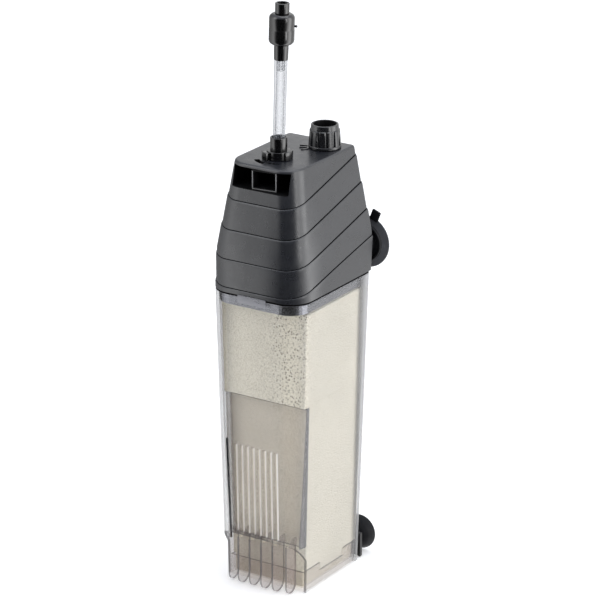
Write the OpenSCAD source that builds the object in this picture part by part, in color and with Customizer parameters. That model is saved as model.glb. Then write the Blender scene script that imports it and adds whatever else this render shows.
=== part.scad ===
// Internal aquarium filter: a pump head on a clear foam canister.
// Millimetres. Front is -Y, up is +Z, the origin is the middle of the base.

/* [Canister] */
// Width of the canister at its rim
body_w = 80; // [64:1:110]
// Depth of the canister at its rim
body_d = 99.4; // [80:0.2:130]
// Height of the canister up to its rim
can_h = 229.6; // [190:0.2:290]
// Inward draft of each side from rim to foot
draft = 5.4; // [2:0.1:8]
// Wall thickness of the canister
wall = 2.2; // [1.6:0.1:3]
// Radius of the front corners at the rim
corner_r = 18; // [12:1:24]
// Radius of the back corners
back_r = 6; // [4:1:10]
// Height of the open mouth in the front wall
mouth_h = 41; // [34:1:50]
// Front edge of the side walls beside the mouth
mouth_y = -31; // [-36:0.5:-28]
// Length of the slots above the mouth
slot_len = 69.5; // [50:0.5:80]
// Height of the bar between the mouth and the slots
slot_bar = 2.5; // [2:0.1:6]
// Width of each slot
slot_w = 2.2; // [1.4:0.1:3]
// Number of slots
slot_n = 8; // [6:1:12]

/* [Intake] */
// Distance between the fins
fin_pitch = 10.07; // [9:0.01:12]
// Thickness of a fin
fin_t = 1.4; // [1:0.1:2]
// Front edge of the fins
fin_y = -47; // [-50:0.5:-44]
// Height of the partition
guide_h = 146.5; // [120:0.5:170]
// Thickness of the partition's side flanges
flange_t = 0.9; // [0.8:0.1:1.6]
// Thickness of the partition
guide_t = 1.8; // [1.2:0.1:2.6]
// Height of the tray rim at its ends
tray_h = 15.6; // [12:0.2:20]
// Height of the tray rim along the middle
tray_low = 9.5; // [7:0.5:12]

/* [Head] */
// Height of the pump head above the rim seal
head_h = 95.6; // [80:0.2:120]
// Width of the top plate at the front
top_wf = 57; // [48:0.5:62]
// Width of the top plate at the back
top_wb = 57.6; // [48:0.5:64]
// Front edge of the top plate
top_yf = -38.2; // [-44:0.2:-34]
// Back edge of the top plate
top_yb = 43.8; // [38:0.2:48]
// How far each band stands out from the band above it
band_step = 0.7; // [0.5:0.1:1.4]
// Height at which the sides of the head begin to lean in more
bulge_h = 30; // [24:0.5:56]
// How far each side leans in up to there, at the front
lean_front = 0.4; // [-2:0.1:4]
// How far each side leans in up to there, at the back; below zero it swells out
lean_back = -1.7; // [-3:0.1:4]
// How far the front face leans back up to there
lean_face = 0.3; // [0:0.1:4]
// How far the rear face leans forward up to there
lean_rear = 0; // [0:0.1:2]
// Height of the uppermost band edge, half way to the back
band_top = 78.8; // [70:0.1:84]
// Distance from one band edge to the next
band_pitch = 20.9; // [18:0.1:22]
// Rise of the band edges towards the back, per millimetre
band_rise = 0.247; // [0.15:0.001:0.3]
// Radius of the front corners at the foot of the head's core
foot_r = 15; // [10:0.5:18]
// Radius of the front corners where the sides begin to lean in more
bend_r = 13.5; // [10:0.5:18]
// Radius of the front corners of the top plate
top_r = 15; // [8:0.5:18]
// Radius of the back corners of the head
rear_r = 1.5; // [1:0.1:4]
// Wall thickness of the head
head_wall = 2.4; // [1.8:0.1:3]
// Width of the nozzle pocket
pocket_w = 48; // [42:0.5:50]
// Radius of the screws that hold the pump plate
screw_r = 1.5; // [1:0.1:2]
// Radius of the cable gland's neck
gland_r = 4.7; // [4:0.1:6]

/* [Nozzle and air pipe] */
// Sideways position of the turret axis
turret_x = 0; // [-2:0.5:2]
// Position of the turret axis from front to back
turret_y = -14; // [-16:0.5:-12]
// Direction of the nozzle as stored, turned to the right
nozzle_yaw = 7; // [-20:1:20]
// Outer width of the nozzle mouth
nozzle_w = 19.5; // [16:0.5:20]
// Reach of the nozzle mouth from the turret axis
nozzle_reach = 23.5; // [18:0.5:24]
// Radius of the turret pivot
pivot_r = 6.55; // [5.5:0.05:7]
// Outer radius of the air pipe at its foot
pipe_r = 4.4; // [3.6:0.1:5]
// Length of the air pipe
pipe_len = 64.4; // [45:0.1:100]
// Lean of the air pipe as stored
pipe_lean = 1.5; // [0:0.1:3]
// Radius of the spindle that the air valve turns on
stem_r = 3.5; // [3:0.1:4]
// Radius of the air passage
air_r = 1.5; // [1:0.1:2]
// Outer radius of the riser from the pump to the nozzle
duct_r = 8; // [6:0.1:9]
// Radius of the air valve barrel
barrel_r = 9.2; // [8:0.1:11]

/* [Regulator] */
// Sideways position of the knob axis
knob_x = 13.3; // [11:0.1:15]
// Position of the knob axis from front to back
knob_y = 26.5; // [24:0.5:28]
// Radius of the knob at its foot
knob_r = 12; // [11:0.1:14]
// Height of the knob
knob_h = 17.6; // [14:0.2:22]
// Number of flutes
flute_n = 12; // [8:1:16]
// Radius of each flute
flute_r = 1.3; // [1:0.1:2]
// Outer radius of the drum under the knob
drum_r = 8.2; // [7:0.1:8.6]

/* [Pump] */
// Clearance between the pump chamber and the riser
duct_gap = 0.6; // [0.4:0.1:2]
// Outer radius of the pump's outlet stub
stub_r = 6; // [5:0.1:7]
// Outer radius of the ring round the pump's inlet
inlet_r = 17; // [14:0.5:18]
// Radius of the ceramic shaft
shaft_r = 1.5; // [1.2:0.05:2]
// Radius of the rotor magnet
rotor_r = 9.2; // [8:0.1:9.6]
// Radius of the impeller
impeller_r = 15; // [12:0.5:17]
// Number of impeller vanes
vane_n = 6; // [4:1:8]

/* [Suction cups] */
// Plane of the glass behind the filter
glass_y = 60.8; // [58:0.2:70]
// Radius of the large cups on the head
cup_r = 20; // [17:0.5:22]
// Sideways position of the large cups
cup_x = 28; // [24:0.5:32]
// Radius of the small cups at the foot
foot_cup_r = 13.6; // [12:0.2:14]
// Sideways position of the small cups
foot_cup_x = 24.2; // [20:0.2:26]
// Radius of the necks of the cups
neck_r = 3.8; // [3:0.1:4.6]
// Radius of the pegs that hold the cup brackets
peg_r = 2.5; // [2:0.1:3.2]

/* [Hidden] */
$fn = 64;
run = 0.06;
gap = 0.3;
top_z = can_h + 1.4 + head_h;
head_z = can_h + 1.4;
plate_z = top_z - 2.4;
pocket_z = top_z - 18;
hw = body_w / 2;
hd = body_d / 2;
foam_top = can_h - 10;
post_h = 42;
post_x = hw - head_wall - (hw - top_wf / 2) * (post_h + 3) / (head_h - 2.4) - 1.84;
post_y = [-hd + 20, hd - 15];
drum_z = top_z - 34;
volute_r = impeller_r + 4.4;
pump_y = turret_y + duct_r + duct_gap + volute_r;
socket_z = top_z + 6.3;
pipe_z = socket_z + 2.6;
stem_z = pipe_z + pipe_len;
barrel_z = stem_z + 11.2;
cap_z = barrel_z + 22.8;
cup_z = head_z + 17;
foot_cup_z = foot_cup_r + 0.5;
gland_z = head_z + 66;
gland_x = -16;
lean_axis = [-0.543, 0.839, 0];
rib_x = 2.5 * fin_pitch + 1.5;

// Piece to show

// Inward draft of the canister at a height
function taper(z) = draft * (1 - z / can_h);

// Inner face of the canister's front corner, at a width and a height
function inner_y(x, z) =
    let(k = taper(z) + wall, r = corner_r - k * 0.75, d = max(x - hw + k + r, 0))
    -hd + k + r - sqrt(r * r - d * d);

// Four rounded corners of a level section
module section(wf, wb, yf, yb, rf, rb, z) {
    for (s = [-1, 1]) {
        translate([s * (wf - rf), yf + rf, z])
            cylinder(r = rf, h = 0.01, $fn = 40);
        translate([s * (wb - rb), yb - rb, z])
            cylinder(r = rb, h = 0.01, $fn = 40);
    }
}

// Section of the canister, moved in from its outer face
module can_section(z, inset) {
    k = taper(z) + inset;
    rf = corner_r - k * 0.75;
    rb = max(back_r - inset * 0.8, 1);
    section(hw - k, hw - k, -hd + k, hd - k, rf, rb, z);
}

// Tapered body that follows the canister wall
module can_body(z0, z1, inset) {
    hull() {
        can_section(z0, inset);
        can_section(z1 - 0.01, inset);
    }
}

// Tapered, bulging body of the head, moved out by a distance
module head_body(out) {
    w = hw - 4 * band_step;
    d = hd - 4 * band_step;
    hull() {
        section(w + out, w + out, -d - out, d + out, foot_r + out, rear_r + out / 4, head_z);
        section(w - lean_front + out, w - lean_back + out, -d + lean_face - out,
            d - lean_rear + out, bend_r + out, rear_r + out / 4, head_z + bulge_h);
        section(top_wf / 2 + out, top_wb / 2 + out, top_yf - out, top_yb + out,
            top_r + out, 2 * rear_r + out, top_z - 0.01);
    }
}

// Space below the edge of a band, which rises towards the back
module below_edge(i) {
    z = head_z + band_top - (i - 1) * band_pitch;
    rotate([90, 0, 90])
        linear_extrude(3 * body_w, center = true)
            polygon([[-90, head_z - 60], [90, head_z - 60], [90, z + 90 * band_rise],
                [-90, z - 90 * band_rise]]);
}

// Slice of a ring between two angles
module arc(r0, r1, a0, a1, h) {
    rotate([0, 0, a0])
        rotate_extrude(angle = a1 - a0)
            translate([r0, 0])
                square([r1 - r0, h]);
}

// Frame of the leaning air pipe
module leaning() {
    translate([turret_x, turret_y, socket_z])
        rotate(a = pipe_lean, v = lean_axis)
            translate([0, 0, -socket_z])
                children();
}

// Side profile of the mouth in the canister's lower front
module mouth_profile() {
    polygon([[-hd - 5, -1], [mouth_y, -1], [mouth_y, mouth_h - 15], [mouth_y - 4, mouth_h - 9.5],
        [mouth_y - 9, mouth_h - 3.5], [mouth_y - 13.5, mouth_h], [-hd - 5, mouth_h]]);
}

module canister() {
    color([0.86, 0.89, 0.9, 0.3])
        difference() {
            union() {
                can_body(0, can_h, 0);
                translate([-12, -hd - 0.9, can_h - 4.6])
                    cube([24, 0.65, 6.4]);
                translate([-12, -hd - 0.9, can_h - 4.6])
                    cube([24, 2, 3.4]);
            }
            can_body(-0.5, can_h + 0.5, wall);
            rotate([90, 0, 90])
                linear_extrude(2 * body_w, center = true)
                    mouth_profile();
            for (i = [0 : slot_n - 1])
                translate([(i - (slot_n - 1) / 2) * fin_pitch / 2, -hd - 1, mouth_h + slot_bar])
                    translate([-slot_w / 2, 0, 0])
                        cube([slot_w, 12, slot_len]);
            for (s = [-1, 1])
                translate([s * 9, hd, 10])
                    rotate([90, 0, 0])
                        cylinder(r = peg_r + 0.1, h = 20, center = true);
        }
}

module base_tray() {
    color([0.42, 0.4, 0.39, 0.55])
        difference() {
            can_body(0, tray_h, wall + 0.25);
            difference() {
                can_body(2.4, tray_h + 1, wall + 1.85);
                translate([-hw, mouth_y - 20, 0])
                    cube([body_w, 21.6, tray_h + 2]);
            }
            translate([-hw, mouth_y - 40, -1])
                cube([body_w, 40, tray_h + 3]);
            translate([-hw, -8, tray_low])
                cube([body_w, 32, tray_h]);
        }
}

// Side outline of one fin, with a round lower end
module fin_profile(y0) {
    r = (mouth_y - 0.25 - y0) / 2;
    translate([y0 + r, 0.4 + r])
        circle(r = r);
    polygon([[y0, 0.4 + r], [mouth_y - 0.25, 0.4 + r], [mouth_y - 0.25, 37], [mouth_y + 0.6, 37],
        [mouth_y + 0.6, mouth_h + 2], [mouth_y - 4, mouth_h + 2], [mouth_y - 9, mouth_h - 4.2],
        [y0, mouth_h - 1.4]]);
}

module intake_guide() {
    k0 = taper(36) + wall + gap;
    k1 = taper(guide_h) + wall + gap;
    color([0.4, 0.38, 0.37, 0.5]) {
        translate([0, mouth_y + 1.2, 0])
            rotate([90, 0, 0])
                linear_extrude(guide_t)
                    polygon([[-hw + k0, 36], [hw - k0, 36], [hw - k1, guide_h], [-hw + k1, guide_h]]);
        intersection() {
            difference() {
                can_body(30, guide_h, wall + gap);
                can_body(29, guide_h + 1, wall + gap + flange_t);
            }
            rotate([90, 0, 90])
                linear_extrude(2 * body_w, center = true)
                    polygon([[mouth_y + 2.6, 36], [mouth_y + 2.6, guide_h], [mouth_y + 0.2, guide_h],
                        [mouth_y - 4, mouth_h + 1], [mouth_y - 4, 36]]);
        }
        for (i = [-2.5 : 2.5])
            translate([i * fin_pitch - fin_t / 2, 0, 0])
                rotate([90, 0, 90])
                    linear_extrude(fin_t)
                        fin_profile(abs(i) > 2 ? fin_y + 3 : fin_y);
        translate([-rib_x, inner_y(rib_x, mouth_h - 7) + 0.8, mouth_h - 7])
            rotate([0, -2.3, 0])
                cube([1.8, 1.8, slot_len + slot_bar + 7]);
    }
}

module foam_lower() {
    color([0.87, 0.85, 0.79])
        intersection() {
            union() {
                can_body(tray_h + 0.8, guide_h + 0.7, wall + 0.5);
                can_body(2.8, tray_h + 2, wall + 2.4);
            }
            translate([-hw, mouth_y + 2.9, 0])
                cube([body_w, body_d, can_h]);
        }
}

module foam_upper() {
    color([0.87, 0.85, 0.79])
        intersection() {
            can_body(guide_h + 0.7, foam_top, wall + 0.5);
            translate([-hw, mouth_y - 3.4, 0])
                cube([body_w, body_d, can_h]);
        }
}

module foot_bracket() {
    y = hd - draft;
    color([0.09, 0.09, 0.1])
        difference() {
            union() {
                translate([-hw + draft + 0.6, y + 1.9, 0.6])
                    cube([body_w - 2 * draft - 1.2, 2, 19]);
                for (s = [-1, 1])
                    translate([s * (hw - draft - 1.6) - 1, y + 0.75, 0.6])
                        cube([2, 1.4, 19]);
                for (s = [-1, 1])
                    translate([s * 9, y + 2.5, 10])
                        rotate([90, 0, 0])
                            cylinder(r = peg_r, h = 4.6);
            }
            for (s = [-1, 1])
                translate([s * foot_cup_x, y, foot_cup_z])
                    rotate([90, 0, 0])
                        cylinder(r = neck_r + 0.2, h = 20, center = true);
        }
}

module foot_cups() {
    reach = glass_y - hd + draft - 0.85;
    color([0.17, 0.17, 0.18])
        for (s = [-1, 1])
            translate([s * foot_cup_x, glass_y, foot_cup_z])
                rotate([90, 0, 0])
                    rotate_extrude()
                        polygon([[0, 3], [9, 2.1], [foot_cup_r, 0], [foot_cup_r, 0.8],
                            [foot_cup_r - 0.9, 2.9], [foot_cup_r - 2.6, 5.6], [foot_cup_r - 4.9, 8],
                            [foot_cup_r - 7.4, 9.8], [neck_r + 1.6, reach - 3.2],
                            [neck_r, reach - 3.2], [neck_r, reach - 0.95],
                            [neck_r + 1.2, reach - 0.95], [neck_r + 1.2, reach], [0, reach]]);
}

module head_shell() {
    color([0.33, 0.34, 0.36])
        difference() {
            union() {
                difference() {
                    union() {
                        head_body(0);
                        for (i = [1 : 4])
                            intersection() {
                                head_body(i * band_step);
                                below_edge(i);
                            }
                    }
                    hull() {
                        section(hw - head_wall, hw - head_wall, -hd + head_wall, hd - head_wall,
                            corner_r, 7, head_z - 0.01);
                        section(top_wf / 2 - head_wall, top_wb / 2 - head_wall, top_yf + head_wall,
                            top_yb - head_wall, top_r - head_wall, 4, plate_z - 0.01);
                    }
                }
                intersection() {
                    head_body(0);
                    translate([-hw, -hd, pocket_z - 2])
                        cube([body_w, hd - 4, 40]);
                }
                for (x = [-1, 1], y = [-1, 1])
                    translate([x * post_x, post_y[(y + 1) / 2], head_z + 3])
                        cylinder(r = screw_r + 2.5, h = post_h);
                for (a = [200, 217, 234])
                    translate([knob_x, knob_y, top_z - 0.2])
                        rotate([0, 0, a])
                            translate([knob_r + 0.9, -0.7, 0])
                                cube([5.6, 1.4, 0.9]);
            }
            translate([-pocket_w / 2, -hd - 5, pocket_z])
                cube([pocket_w, hd - 4, 15.6]);
            translate([turret_x, turret_y, pocket_z])
                cylinder(r = 13, h = 15.6);
            translate([turret_x, turret_y, plate_z - 1])
                cylinder(r = pivot_r + run, h = 5);
            translate([turret_x, turret_y, pocket_z - 4])
                cylinder(r = duct_r + gap, h = 5);
            translate([turret_x, turret_y, plate_z - 1])
                arc(14, 18, 222, 262, 5);
            translate([turret_x, turret_y, plate_z - 1])
                arc(13.2, 15, 261, 305, 5);
            translate([knob_x, knob_y, plate_z - 1])
                cylinder(r = drum_r + 0.09, h = 5);
            for (x = [-1, 1], y = [-1, 1])
                translate([x * post_x, post_y[(y + 1) / 2], head_z])
                    cylinder(r = screw_r + 0.03, h = 16);
            translate([gland_x, hd - 10, gland_z])
                rotate([-90, 0, 0])
                    cylinder(r = gland_r + 0.1, h = 20);
            for (s = [-1, 1])
                translate([s * 12, hd - 8, cup_z])
                    rotate([-90, 0, 0])
                        cylinder(r = peg_r + 0.1, h = 20);
        }
}

module rim_seal() {
    color([0.05, 0.05, 0.05])
        difference() {
            can_body(can_h + 0.05, head_z, gap);
            can_body(can_h - 1, head_z + 1, wall + 0.15);
        }
}

module head_base() {
    color([0.36, 0.37, 0.39])
        difference() {
            union() {
                difference() {
                    can_body(can_h - 8.1, head_z - 0.05, wall + gap);
                    can_body(can_h - 9, head_z - 1.2, wall + gap + 2);
                }
                can_body(head_z - 0.6, head_z + 2.4, wall + 2.4);
                translate([0, pump_y, can_h - 4])
                    cylinder(r = inlet_r, h = 6);
            }
            difference() {
                translate([0, pump_y, can_h - 5])
                    cylinder(r = inlet_r - 2.5, h = 12);
                for (a = [30, 150, 270])
                    translate([0, pump_y, head_z - 0.6])
                        rotate([0, 0, a])
                            translate([2.4, -1.2, 0])
                                cube([inlet_r - 3, 2.4, 3]);
                translate([0, pump_y, head_z - 1])
                    cylinder(r = 4.6, h = 3);
            }
            for (x = [-1, 1], y = [-1, 1])
                translate([x * post_x, post_y[(y + 1) / 2], can_h - 3])
                    cylinder(r = screw_r + 0.2, h = 9);
        }
}

module inlet_grid() {
    color([0.36, 0.37, 0.39])
        translate([0, pump_y, can_h - 7.6])
            difference() {
                cylinder(r = inlet_r + 2.2, h = 6);
                translate([0, 0, 2])
                    cylinder(r = inlet_r + 0.15, h = 6);
                for (i = [-3 : 3])
                    translate([i * inlet_r * 0.27 - 1.2, abs(i) * 1.4 - inlet_r + 3, -1])
                        cube([2.4, 2 * inlet_r - 6 - abs(i) * 2.8, 4]);
            }
}

module cup_bracket() {
    color([0.09, 0.09, 0.1])
        difference() {
            union() {
                translate([-cup_x - 9, glass_y - 8.9, cup_z - 8])
                    cube([2 * cup_x + 18, 2.3, 16]);
                for (s = [-1, 1])
                    translate([s * 12, glass_y - 8, cup_z])
                        rotate([90, 0, 0])
                            cylinder(r = peg_r, h = glass_y - 8 - hd + 5);
            }
            for (s = [-1, 1])
                translate([s * cup_x, glass_y, cup_z])
                    rotate([90, 0, 0])
                        cylinder(r = neck_r + 0.2, h = 20);
        }
}

module head_cups() {
    color([0.2, 0.2, 0.21])
        for (s = [-1, 1])
            translate([s * cup_x, glass_y, cup_z])
                rotate([90, 0, 0]) {
                    rotate_extrude()
                        polygon([[0, 2.4], [13, 1.8], [cup_r, 0], [cup_r, 0.9], [cup_r - 4.8, 3.2],
                            [cup_r - 5.2, 5.4], [cup_r - 6.3, 5.4], [cup_r - 6.8, 3.8], [8.8, 3.8],
                            [8.3, 6.2], [neck_r, 6.2], [neck_r, 9.05], [neck_r + 1.4, 9.05],
                            [neck_r + 1.4, 10.6], [0, 10.6]]);
                    rotate([0, 0, s > 0 ? 69 : 111])
                        translate([cup_r - 1.2, -3.6, 0.1])
                            cube([8, 7.2, 1.9]);
                }
}

module regulator_knob() {
    z = top_z + gap;
    color([0.14, 0.14, 0.15])
        translate([knob_x, knob_y, z])
            difference() {
                union() {
                    cylinder(r = knob_r, h = 2.2);
                    translate([0, 0, 2.2])
                        cylinder(r1 = knob_r - 0.2, r2 = knob_r - 1, h = knob_h * 0.66);
                    cylinder(r1 = knob_r - 0.9, r2 = knob_r - 1.9, h = knob_h);
                }
                for (i = [0 : flute_n - 1])
                    rotate([0, 0, i * 360 / flute_n + 8])
                        translate([knob_r - 0.3, 0, 2.2])
                            cylinder(r = flute_r, h = knob_h * 0.66 + 1);
                translate([0, 0, -1])
                    cylinder(r = drum_r + 0.05, h = 6);
                cylinder(r = drum_r - 1.4, h = knob_h);
                translate([0, 0, knob_h - 8.6])
                    cylinder(r = drum_r, h = 10);
            }
}

module regulator_drum() {
    color([0.2, 0.2, 0.22])
        translate([knob_x, knob_y, drum_z])
            difference() {
                cylinder(r = drum_r, h = top_z + gap + 4.5 - drum_z);
                translate([0, 0, 1.4])
                    cylinder(r = drum_r - 1.4, h = 60);
                translate([0, 0, 1.4])
                    arc(drum_r - 3, drum_r + 2, 205, 265, 7);
            }
}

module nozzle_spout() {
    z = pocket_z + 0.4;
    color([0.12, 0.12, 0.13])
        translate([turret_x, turret_y, z])
            rotate([0, 0, nozzle_yaw])
                difference() {
                    union() {
                        cylinder(r = 10, h = 14.6);
                        translate([-nozzle_w / 2, -nozzle_reach, 0])
                            cube([nozzle_w, nozzle_reach, 14.6]);
                    }
                    translate([-nozzle_w / 2 + 1.3, -nozzle_reach - 1, 1.3])
                        cube([nozzle_w - 2.6, nozzle_reach - 5, 12]);
                    translate([0, 0, -1])
                        cylinder(r = 6.8, h = 13);
                    translate([-6, -8, 1.3])
                        cube([12, 8, 10]);
                    cylinder(r = air_r, h = 20);
                }
}

module turret_collar() {
    z = top_z + gap;
    color([0.13, 0.13, 0.14])
        translate([turret_x, turret_y, 0])
            difference() {
                union() {
                    translate([0, 0, pocket_z + 15])
                        cylinder(r = pivot_r, h = z + 1 - pocket_z - 15);
                    translate([0, 0, z])
                        cylinder(r = 8.7, h = socket_z - z);
                    translate([0, 0, z])
                        arc(8, 12.2, 212, 256, 5.4);
                    translate([0, 0, z])
                        arc(8.4, 10.3, -28, 42, 6);
                }
                for (a = [216 : 6 : 252])
                    rotate([0, 0, a])
                        translate([12.4, 0, z - 1])
                            cylinder(r = 0.45, h = 9);
                translate([0, 0, pocket_z])
                    cylinder(r = air_r, h = 60);
            }
}

module pipe_socket() {
    color([0.09, 0.09, 0.1])
        translate([turret_x, turret_y, socket_z])
            difference() {
                cylinder(r = 6.2, h = 9.8);
                translate([0, 0, 2.4])
                    cylinder(r = pipe_r + 0.55, h = 10);
                translate([0, 0, -1])
                    cylinder(r = air_r, h = 6);
            }
}

module air_pipe() {
    color([0.9, 0.94, 0.97, 0.35])
        leaning()
            translate([0, 0, pipe_z])
                difference() {
                    cylinder(r1 = pipe_r, r2 = pipe_r + 0.35, h = pipe_len);
                    translate([0, 0, -1])
                        cylinder(r = pipe_r - 1.2, h = pipe_len + 2);
                }
}

module valve_stem() {
    color([0.13, 0.13, 0.14])
        leaning()
            translate([0, 0, stem_z])
                difference() {
                    union() {
                        translate([0, 0, -8])
                            cylinder(r = pipe_r - 1.25, h = 9);
                        translate([0, 0, 0.05])
                            cylinder(r1 = 5.1, r2 = 5.3, h = 11);
                        cylinder(r = stem_r, h = 27);
                    }
                    translate([0, 0, -9])
                        cylinder(r = air_r, h = 40);
                }
}

module valve_barrel() {
    r = barrel_r;
    color([0.06, 0.06, 0.07])
        leaning()
            translate([0, 0, barrel_z]) {
                difference() {
                    rotate_extrude()
                        union() {
                            translate([0, 0.2])
                                square([r - 3.4, 22.5]);
                            translate([0, 3.6])
                                square([r, 15.7]);
                            translate([r - 3.4, 3.6])
                                circle(r = 3.4);
                            translate([r - 3.4, 19.3])
                                circle(r = 3.4);
                        }
                    translate([0, 0, -1])
                        cylinder(r = stem_r + run, h = 17.2);
                    cylinder(r = air_r, h = 30);
                }
                rotate([0, 0, 33])
                    translate([r - 0.6, 0, 13.4])
                        rotate([0, 90, 0])
                            cylinder(r = 0.6, h = 1.2);
                rotate([0, 0, 33])
                    translate([r + 0.9, 0, 13.4])
                        sphere(r = 1);
            }
}

module valve_cap() {
    color([0.1, 0.1, 0.11])
        leaning()
            translate([0, 0, cap_z])
                difference() {
                    cylinder(r = 5.15, h = 7.6);
                    translate([0, 0, 1.6])
                        cylinder(r = 3.6, h = 8);
                    translate([0, 0, -1])
                        cylinder(r = air_r, h = 5);
                }
}

module pump_volute() {
    color([0.3, 0.31, 0.33])
        translate([0, pump_y, head_z + 2.7])
            difference() {
                union() {
                    cylinder(r = volute_r, h = 18.3);
                    translate([turret_x, 0, 8])
                        rotate([90, 0, 0])
                            cylinder(r = stub_r, h = pump_y - turret_y - duct_r + 1.6);
                }
                translate([0, 0, -1])
                    cylinder(r = volute_r - 2.2, h = 16.6);
                cylinder(r = 10.6, h = 30);
                translate([turret_x, 0, 8])
                    rotate([90, 0, 0])
                        cylinder(r = stub_r - 1.4, h = 40);
            }
}

module impeller() {
    z = head_z + 7;
    color([0.85, 0.85, 0.83])
        translate([0, pump_y, z])
            difference() {
                union() {
                    cylinder(r = 4, h = 15.9);
                    translate([0, 0, 8])
                        cylinder(r = impeller_r, h = 1.6);
                    for (i = [0 : vane_n - 1])
                        rotate([0, 0, i * 360 / vane_n])
                            translate([3, -0.8, 0])
                                cube([impeller_r - 3.2, 1.6, 8.5]);
                }
                translate([0, 0, -1])
                    cylinder(r = shaft_r + run, h = 20);
            }
}

module rotor_magnet() {
    color([0.16, 0.15, 0.15])
        translate([0, pump_y, head_z + 22.9])
            difference() {
                cylinder(r = rotor_r, h = 25.1);
                translate([0, 0, -1])
                    cylinder(r = shaft_r + run, h = 30);
            }
}

module pump_shaft() {
    color([0.93, 0.92, 0.9])
        translate([0, pump_y, head_z + 3.6])
            cylinder(r = shaft_r, h = 47.6);
}

module lower_bush() {
    color([0.1, 0.1, 0.1])
        translate([0, pump_y, head_z + 2.4])
            difference() {
                cylinder(r = 3.4, h = 3.6);
                translate([0, 0, 1.1])
                    cylinder(r = shaft_r + 0.02, h = 5);
            }
}

module upper_bush() {
    color([0.1, 0.1, 0.1])
        translate([0, pump_y, head_z + 49])
            difference() {
                cylinder(r = 6, h = 3.4);
                translate([0, 0, -1])
                    cylinder(r = shaft_r + 0.02, h = 3.4);
            }
}

module motor_housing() {
    z = head_z + 21.3;
    color([0.18, 0.19, 0.2])
        difference() {
            union() {
                difference() {
                    translate([-22.5, pump_y - 17.5, z])
                        cube([45, 44, 35.7]);
                    translate([-20.5, pump_y - 15.5, z + 2])
                        cube([41, 40, 31.7]);
                }
                translate([0, pump_y, z])
                    cylinder(r = rotor_r + 2.2, h = 33);
            }
            translate([0, pump_y, z - 1])
                cylinder(r = rotor_r + 0.6, h = 32.1);
        }
}

module stator_core() {
    z = head_z + 28;
    color([0.5, 0.51, 0.53])
        difference() {
            translate([-19.6, pump_y - 11, z])
                cube([39.2, 33.5, 18]);
            translate([0, pump_y, z - 1])
                cylinder(r = rotor_r + 2.5, h = 20);
            translate([-9, pump_y, z - 1])
                cube([18, 15.5, 20]);
            translate([-3, pump_y - 12, z - 1])
                cube([6, 12, 20]);
        }
}

module stator_coil() {
    z = head_z + 25.8;
    color([0.72, 0.42, 0.2])
        difference() {
            translate([-8.4, pump_y + 13.6, z])
                cube([16.8, 10.7, 22.4]);
            translate([-9, pump_y + 15.3, z + 2])
                cube([18, 7.4, 18.4]);
        }
}

// Straight way from the riser to the regulator's well
module branch(w, y0, y1, z0, z1) {
    translate([turret_x, turret_y, 0])
        rotate([0, 0, -atan2(knob_x - turret_x, knob_y - turret_y)])
            translate([-w / 2, y0, z0])
                cube([w, y1 - y0, z1 - z0]);
}

module discharge_duct() {
    z = head_z + 4;
    color([0.25, 0.26, 0.28])
        difference() {
            translate([turret_x, turret_y, z])
                cylinder(r = duct_r, h = pocket_z - 1.8 - z);
            translate([turret_x, turret_y, z + 2])
                cylinder(r = duct_r - 1.4, h = head_h);
            translate([turret_x, turret_y, head_z + 10.7])
                rotate([-90, 0, 0])
                    cylinder(r = stub_r + 0.1, h = 20);
            branch(9.2, 0, 14, drum_z + 1.4, drum_z + 8.4);
        }
}

module duct_seal() {
    color([0.05, 0.05, 0.05])
        translate([turret_x, turret_y, pocket_z - 1.05])
            rotate_extrude()
                translate([duct_r - 0.7, 0])
                    circle(r = 0.7);
}

module bypass_channel() {
    l = norm([knob_x - turret_x, knob_y - turret_y]);
    color([0.25, 0.26, 0.28])
        difference() {
            union() {
                translate([knob_x, knob_y, drum_z - 1.8])
                    cylinder(r = drum_r + 2, h = plate_z - gap - drum_z + 1.8);
                branch(12, duct_r + 0.2, l - 4, drum_z, drum_z + 9.8);
            }
            translate([knob_x, knob_y, drum_z - 0.3])
                cylinder(r = drum_r + 0.09, h = 50);
            branch(9.2, 0, l, drum_z + 1.4, drum_z + 8.4);
        }
}

module cable_gland() {
    color([0.08, 0.08, 0.09])
        translate([gland_x, hd - 9, gland_z])
            rotate([-90, 0, 0])
                difference() {
                    union() {
                        cylinder(r = gland_r, h = 15);
                        translate([0, 0, 6.6])
                            cylinder(r = gland_r + 1.9, h = 2.4);
                    }
                    translate([0, 0, -1])
                        cylinder(r = gland_r - 1.6, h = 20);
                }
}

module cover_screws() {
    color([0.75, 0.76, 0.78])
        for (x = [-1, 1], y = [-1, 1])
            translate([x * post_x, post_y[(y + 1) / 2], head_z - 1.6])
                difference() {
                    union() {
                        cylinder(r = screw_r, h = 16);
                        translate([0, 0, -2.2])
                            cylinder(r = 2 * screw_r, h = 2.2);
                    }
                    for (a = [0, 90])
                        rotate([0, 0, a])
                            translate([-2, -0.4, -2.3])
                                cube([4, 0.8, 1.2]);
                }
}

canister();
base_tray();
intake_guide();
foam_lower();
foam_upper();
foot_bracket();
foot_cups();
head_shell();
rim_seal();
head_base();
cup_bracket();
head_cups();
regulator_knob();
regulator_drum();
nozzle_spout();
turret_collar();
pipe_socket();
air_pipe();
valve_stem();
valve_barrel();
valve_cap();
inlet_grid();
pump_volute();
impeller();
rotor_magnet();
pump_shaft();
lower_bush();
upper_bush();
motor_housing();
stator_core();
stator_coil();
discharge_duct();
duct_seal();
bypass_channel();
cable_gland();
cover_screws();
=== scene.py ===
import bpy
import bmesh
import math
import numpy as np
from mathutils import Matrix, Vector, noise


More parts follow.
